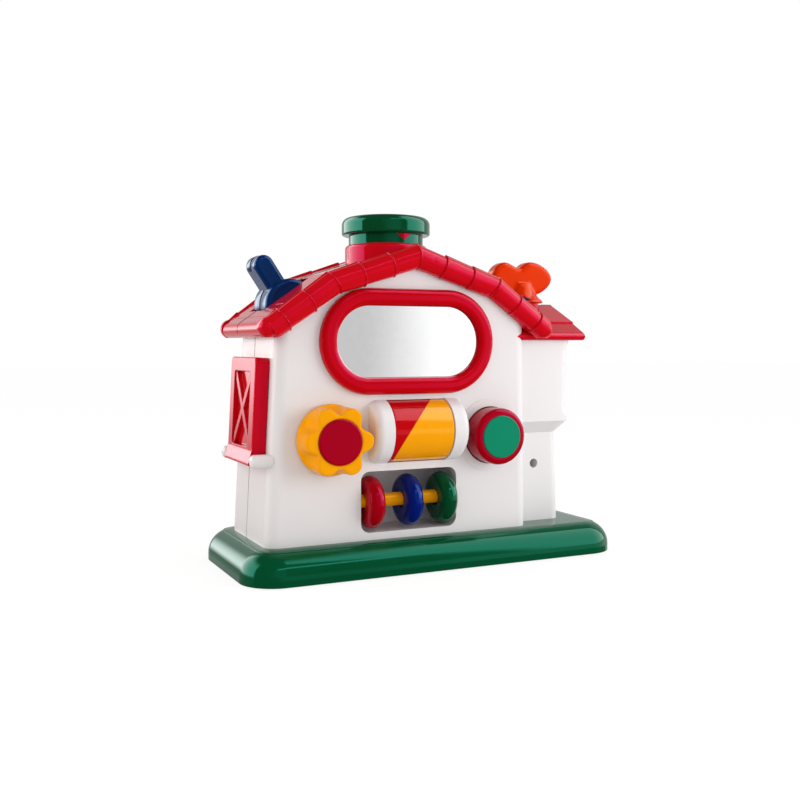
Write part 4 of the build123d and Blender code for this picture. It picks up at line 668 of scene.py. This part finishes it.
def make_base_lip(materials):
    """The fine raised line round the foot tray's shoulder."""
    _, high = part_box("base_tray")
    half_x, half_y = high[0] - BASE_LIP_INSET, high[1] - BASE_LIP_INSET
    path = rounded_outline(half_x, half_y, BASE_CORNER - BASE_LIP_INSET, BASE_LIP_Z)
    piece = wires("base_lip", [path], BASE_LIP_RADIUS)
    place_piece(piece, materials["green_base"], frame_body("base_tray"))


# ---------------------------------------------------------------- studio
def make_camera():
    data = bpy.data.cameras.new("camera")
    data.lens = CAMERA_LENS
    data.sensor_width = SENSOR
    data.clip_start = CAMERA_NEAR
    camera = bpy.data.objects.new("camera", data)
    camera.location = CAMERA_PLACE
    camera.rotation_euler = Euler((math.pi / 2 - CAMERA_DOWN, 0, -CAMERA_YAW))
    bpy.context.scene.collection.objects.link(camera)
    bpy.context.scene.camera = camera


def make_lamp(name, place, size, power, colour):
    """A square softbox at place that faces the object. Gloss shows the room's cards instead of it."""
    data = bpy.data.lights.new(name, "AREA")
    data.shape = "RECTANGLE"
    data.size = size
    data.size_y = size
    data.energy = power
    data.color = colour
    lamp = bpy.data.objects.new(name, data)
    lamp.location = place
    lamp.rotation_euler = (LAMP_TARGET - Vector(place)).to_track_quat("-Z", "Y").to_euler()
    lamp.visible_glossy = False
    bpy.context.scene.collection.objects.link(lamp)


class Direction:
    """The world's direction as angles, and the cards that stand round the object."""

    def __init__(self, nodes, links):
        self.nodes, self.links = nodes, links
        direction = nodes.new("ShaderNodeTexCoord").outputs["Generated"]
        split = nodes.new("ShaderNodeSeparateXYZ")
        links.new(direction, split.inputs["Vector"])
        towards = self.math("MULTIPLY", split.outputs["Y"], -1.0)
        self.bearing = self.math("ARCTAN2", split.outputs["X"], towards)
        self.height = self.math("ARCSINE", split.outputs["Z"])

    def math(self, operation, first, second=None):
        node = self.nodes.new("ShaderNodeMath")
        node.operation = operation
        for socket, value in zip(node.inputs, (first, second)):
            if isinstance(value, (int, float)):
                socket.default_value = value
            elif value is not None:
                self.links.new(value, socket)
        return node.outputs[0]

    def rise(self, angle, at, width):
        """0 below at degrees and 1 above it, over width degrees."""
        spread = self.nodes.new("ShaderNodeMapRange")
        spread.interpolation_type = "SMOOTHSTEP"
        spread.inputs["From Min"].default_value = math.radians(at - width / 2)
        spread.inputs["From Max"].default_value = math.radians(at + width / 2)
        self.links.new(angle, spread.inputs["Value"])
        return spread.outputs["Result"]

    def band(self, angle, low, high, low_width, high_width):
        inside = self.rise(angle, low, low_width)
        past = self.rise(angle, high, high_width)
        return self.math("SUBTRACT", inside, past)

    def card(self, light, bearings, heights):
        """A card of this light between two bearings and two heights, each as CARDS gives them."""
        shape = self.math("MULTIPLY", self.band(self.bearing, *bearings), self.band(self.height, *heights))
        return self.math("MULTIPLY", shape, light)


def shine(room):
    """What glossy surfaces see: a dark room with white cards in front, beside and behind."""
    total = ROOM_DARK
    for card in CARDS:
        total = room.math("ADD", room.card(*card), total)
    return total


def make_world():
    """White to the camera, even to matt surfaces, and a room of cards to glossy ones."""
    world = bpy.data.worlds.new("studio")
    bpy.context.scene.world = world
    world.use_nodes = True
    nodes, links = world.node_tree.nodes, world.node_tree.links
    background = nodes["Background"]
    path = nodes.new("ShaderNodeLightPath")
    room = Direction(nodes, links)
    mirrored = room.math("MAXIMUM", path.outputs["Is Glossy Ray"], path.outputs["Is Transmission Ray"])
    matt = room.math("SUBTRACT", 1.0, mirrored)
    glossy_light = room.math("MULTIPLY", shine(room), mirrored)
    light = room.math("ADD", glossy_light, room.math("MULTIPLY", matt, SKY))
    strength = room.math("MAXIMUM", light, path.outputs["Is Camera Ray"])
    links.new(strength, background.inputs["Strength"])
    background.inputs["Color"].default_value = (1, 1, 1, 1)


def make_floor():
    """A white floor that stays white to the camera, keeps a soft shadow and isn't seen in gloss."""
    mesh = bpy.data.meshes.new("floor")
    corners = [(-1, -1), (1, -1), (1, 1), (-1, 1)]
    mesh.from_pydata([(x * FLOOR_REACH, y * FLOOR_REACH, 0) for x, y in corners], [], [(0, 1, 2, 3)])
    floor = bpy.data.objects.new("floor", mesh)
    bpy.context.scene.collection.objects.link(floor)
    material, nodes, links, shader = new_material("floor")
    shader.inputs["Base Color"].default_value = FLOOR_WHITE
    shader.inputs["Roughness"].default_value = 1.0
    shader.inputs["Specular IOR Level"].default_value = 0.0
    glow = nodes.new("ShaderNodeEmission")
    glow.inputs["Strength"].default_value = FLOOR_GLOW
    clear = nodes.new("ShaderNodeBsdfTransparent")
    path = nodes.new("ShaderNodeLightPath")
    share = nodes.new("ShaderNodeMath")
    share.operation = "MULTIPLY"
    share.inputs[1].default_value = FLOOR_SHARE
    links.new(path.outputs["Is Camera Ray"], share.inputs[0])
    whitened = nodes.new("ShaderNodeMixShader")
    links.new(share.outputs[0], whitened.inputs["Fac"])
    links.new(shader.outputs["BSDF"], whitened.inputs[1])
    links.new(glow.outputs["Emission"], whitened.inputs[2])
    seen = nodes.new("ShaderNodeMixShader")
    links.new(path.outputs["Is Glossy Ray"], seen.inputs["Fac"])
    links.new(whitened.outputs["Shader"], seen.inputs[1])
    links.new(clear.outputs["BSDF"], seen.inputs[2])
    links.new(seen.outputs["Shader"], nodes["Material Output"].inputs["Surface"])
    floor.data.materials.append(material)


def light_studio():
    make_world()
    make_floor()
    make_lamp("soft_left", place=(-1.4, -0.1, 0.6), size=0.8, power=5.6, colour=(1.0, 0.91, 0.84))
    make_lamp("soft_right", place=(0.70, -0.60, 0.20), size=0.6, power=4.8, colour=(0.98, 0.98, 1.0))


make_camera()
light_studio()
MATERIALS = make_materials()
SLOTS = {part["node"]: part["material_slot"] for part in frame["record"]["subparts"]}
dress_nodes(MATERIALS, SLOTS)
make_rings(MATERIALS, SLOTS)
make_rear_roof(MATERIALS)
make_tile_lips(MATERIALS)
make_seams(MATERIALS)
make_base_lip(MATERIALS)

bpy.context.scene.view_settings.view_transform = "Standard"
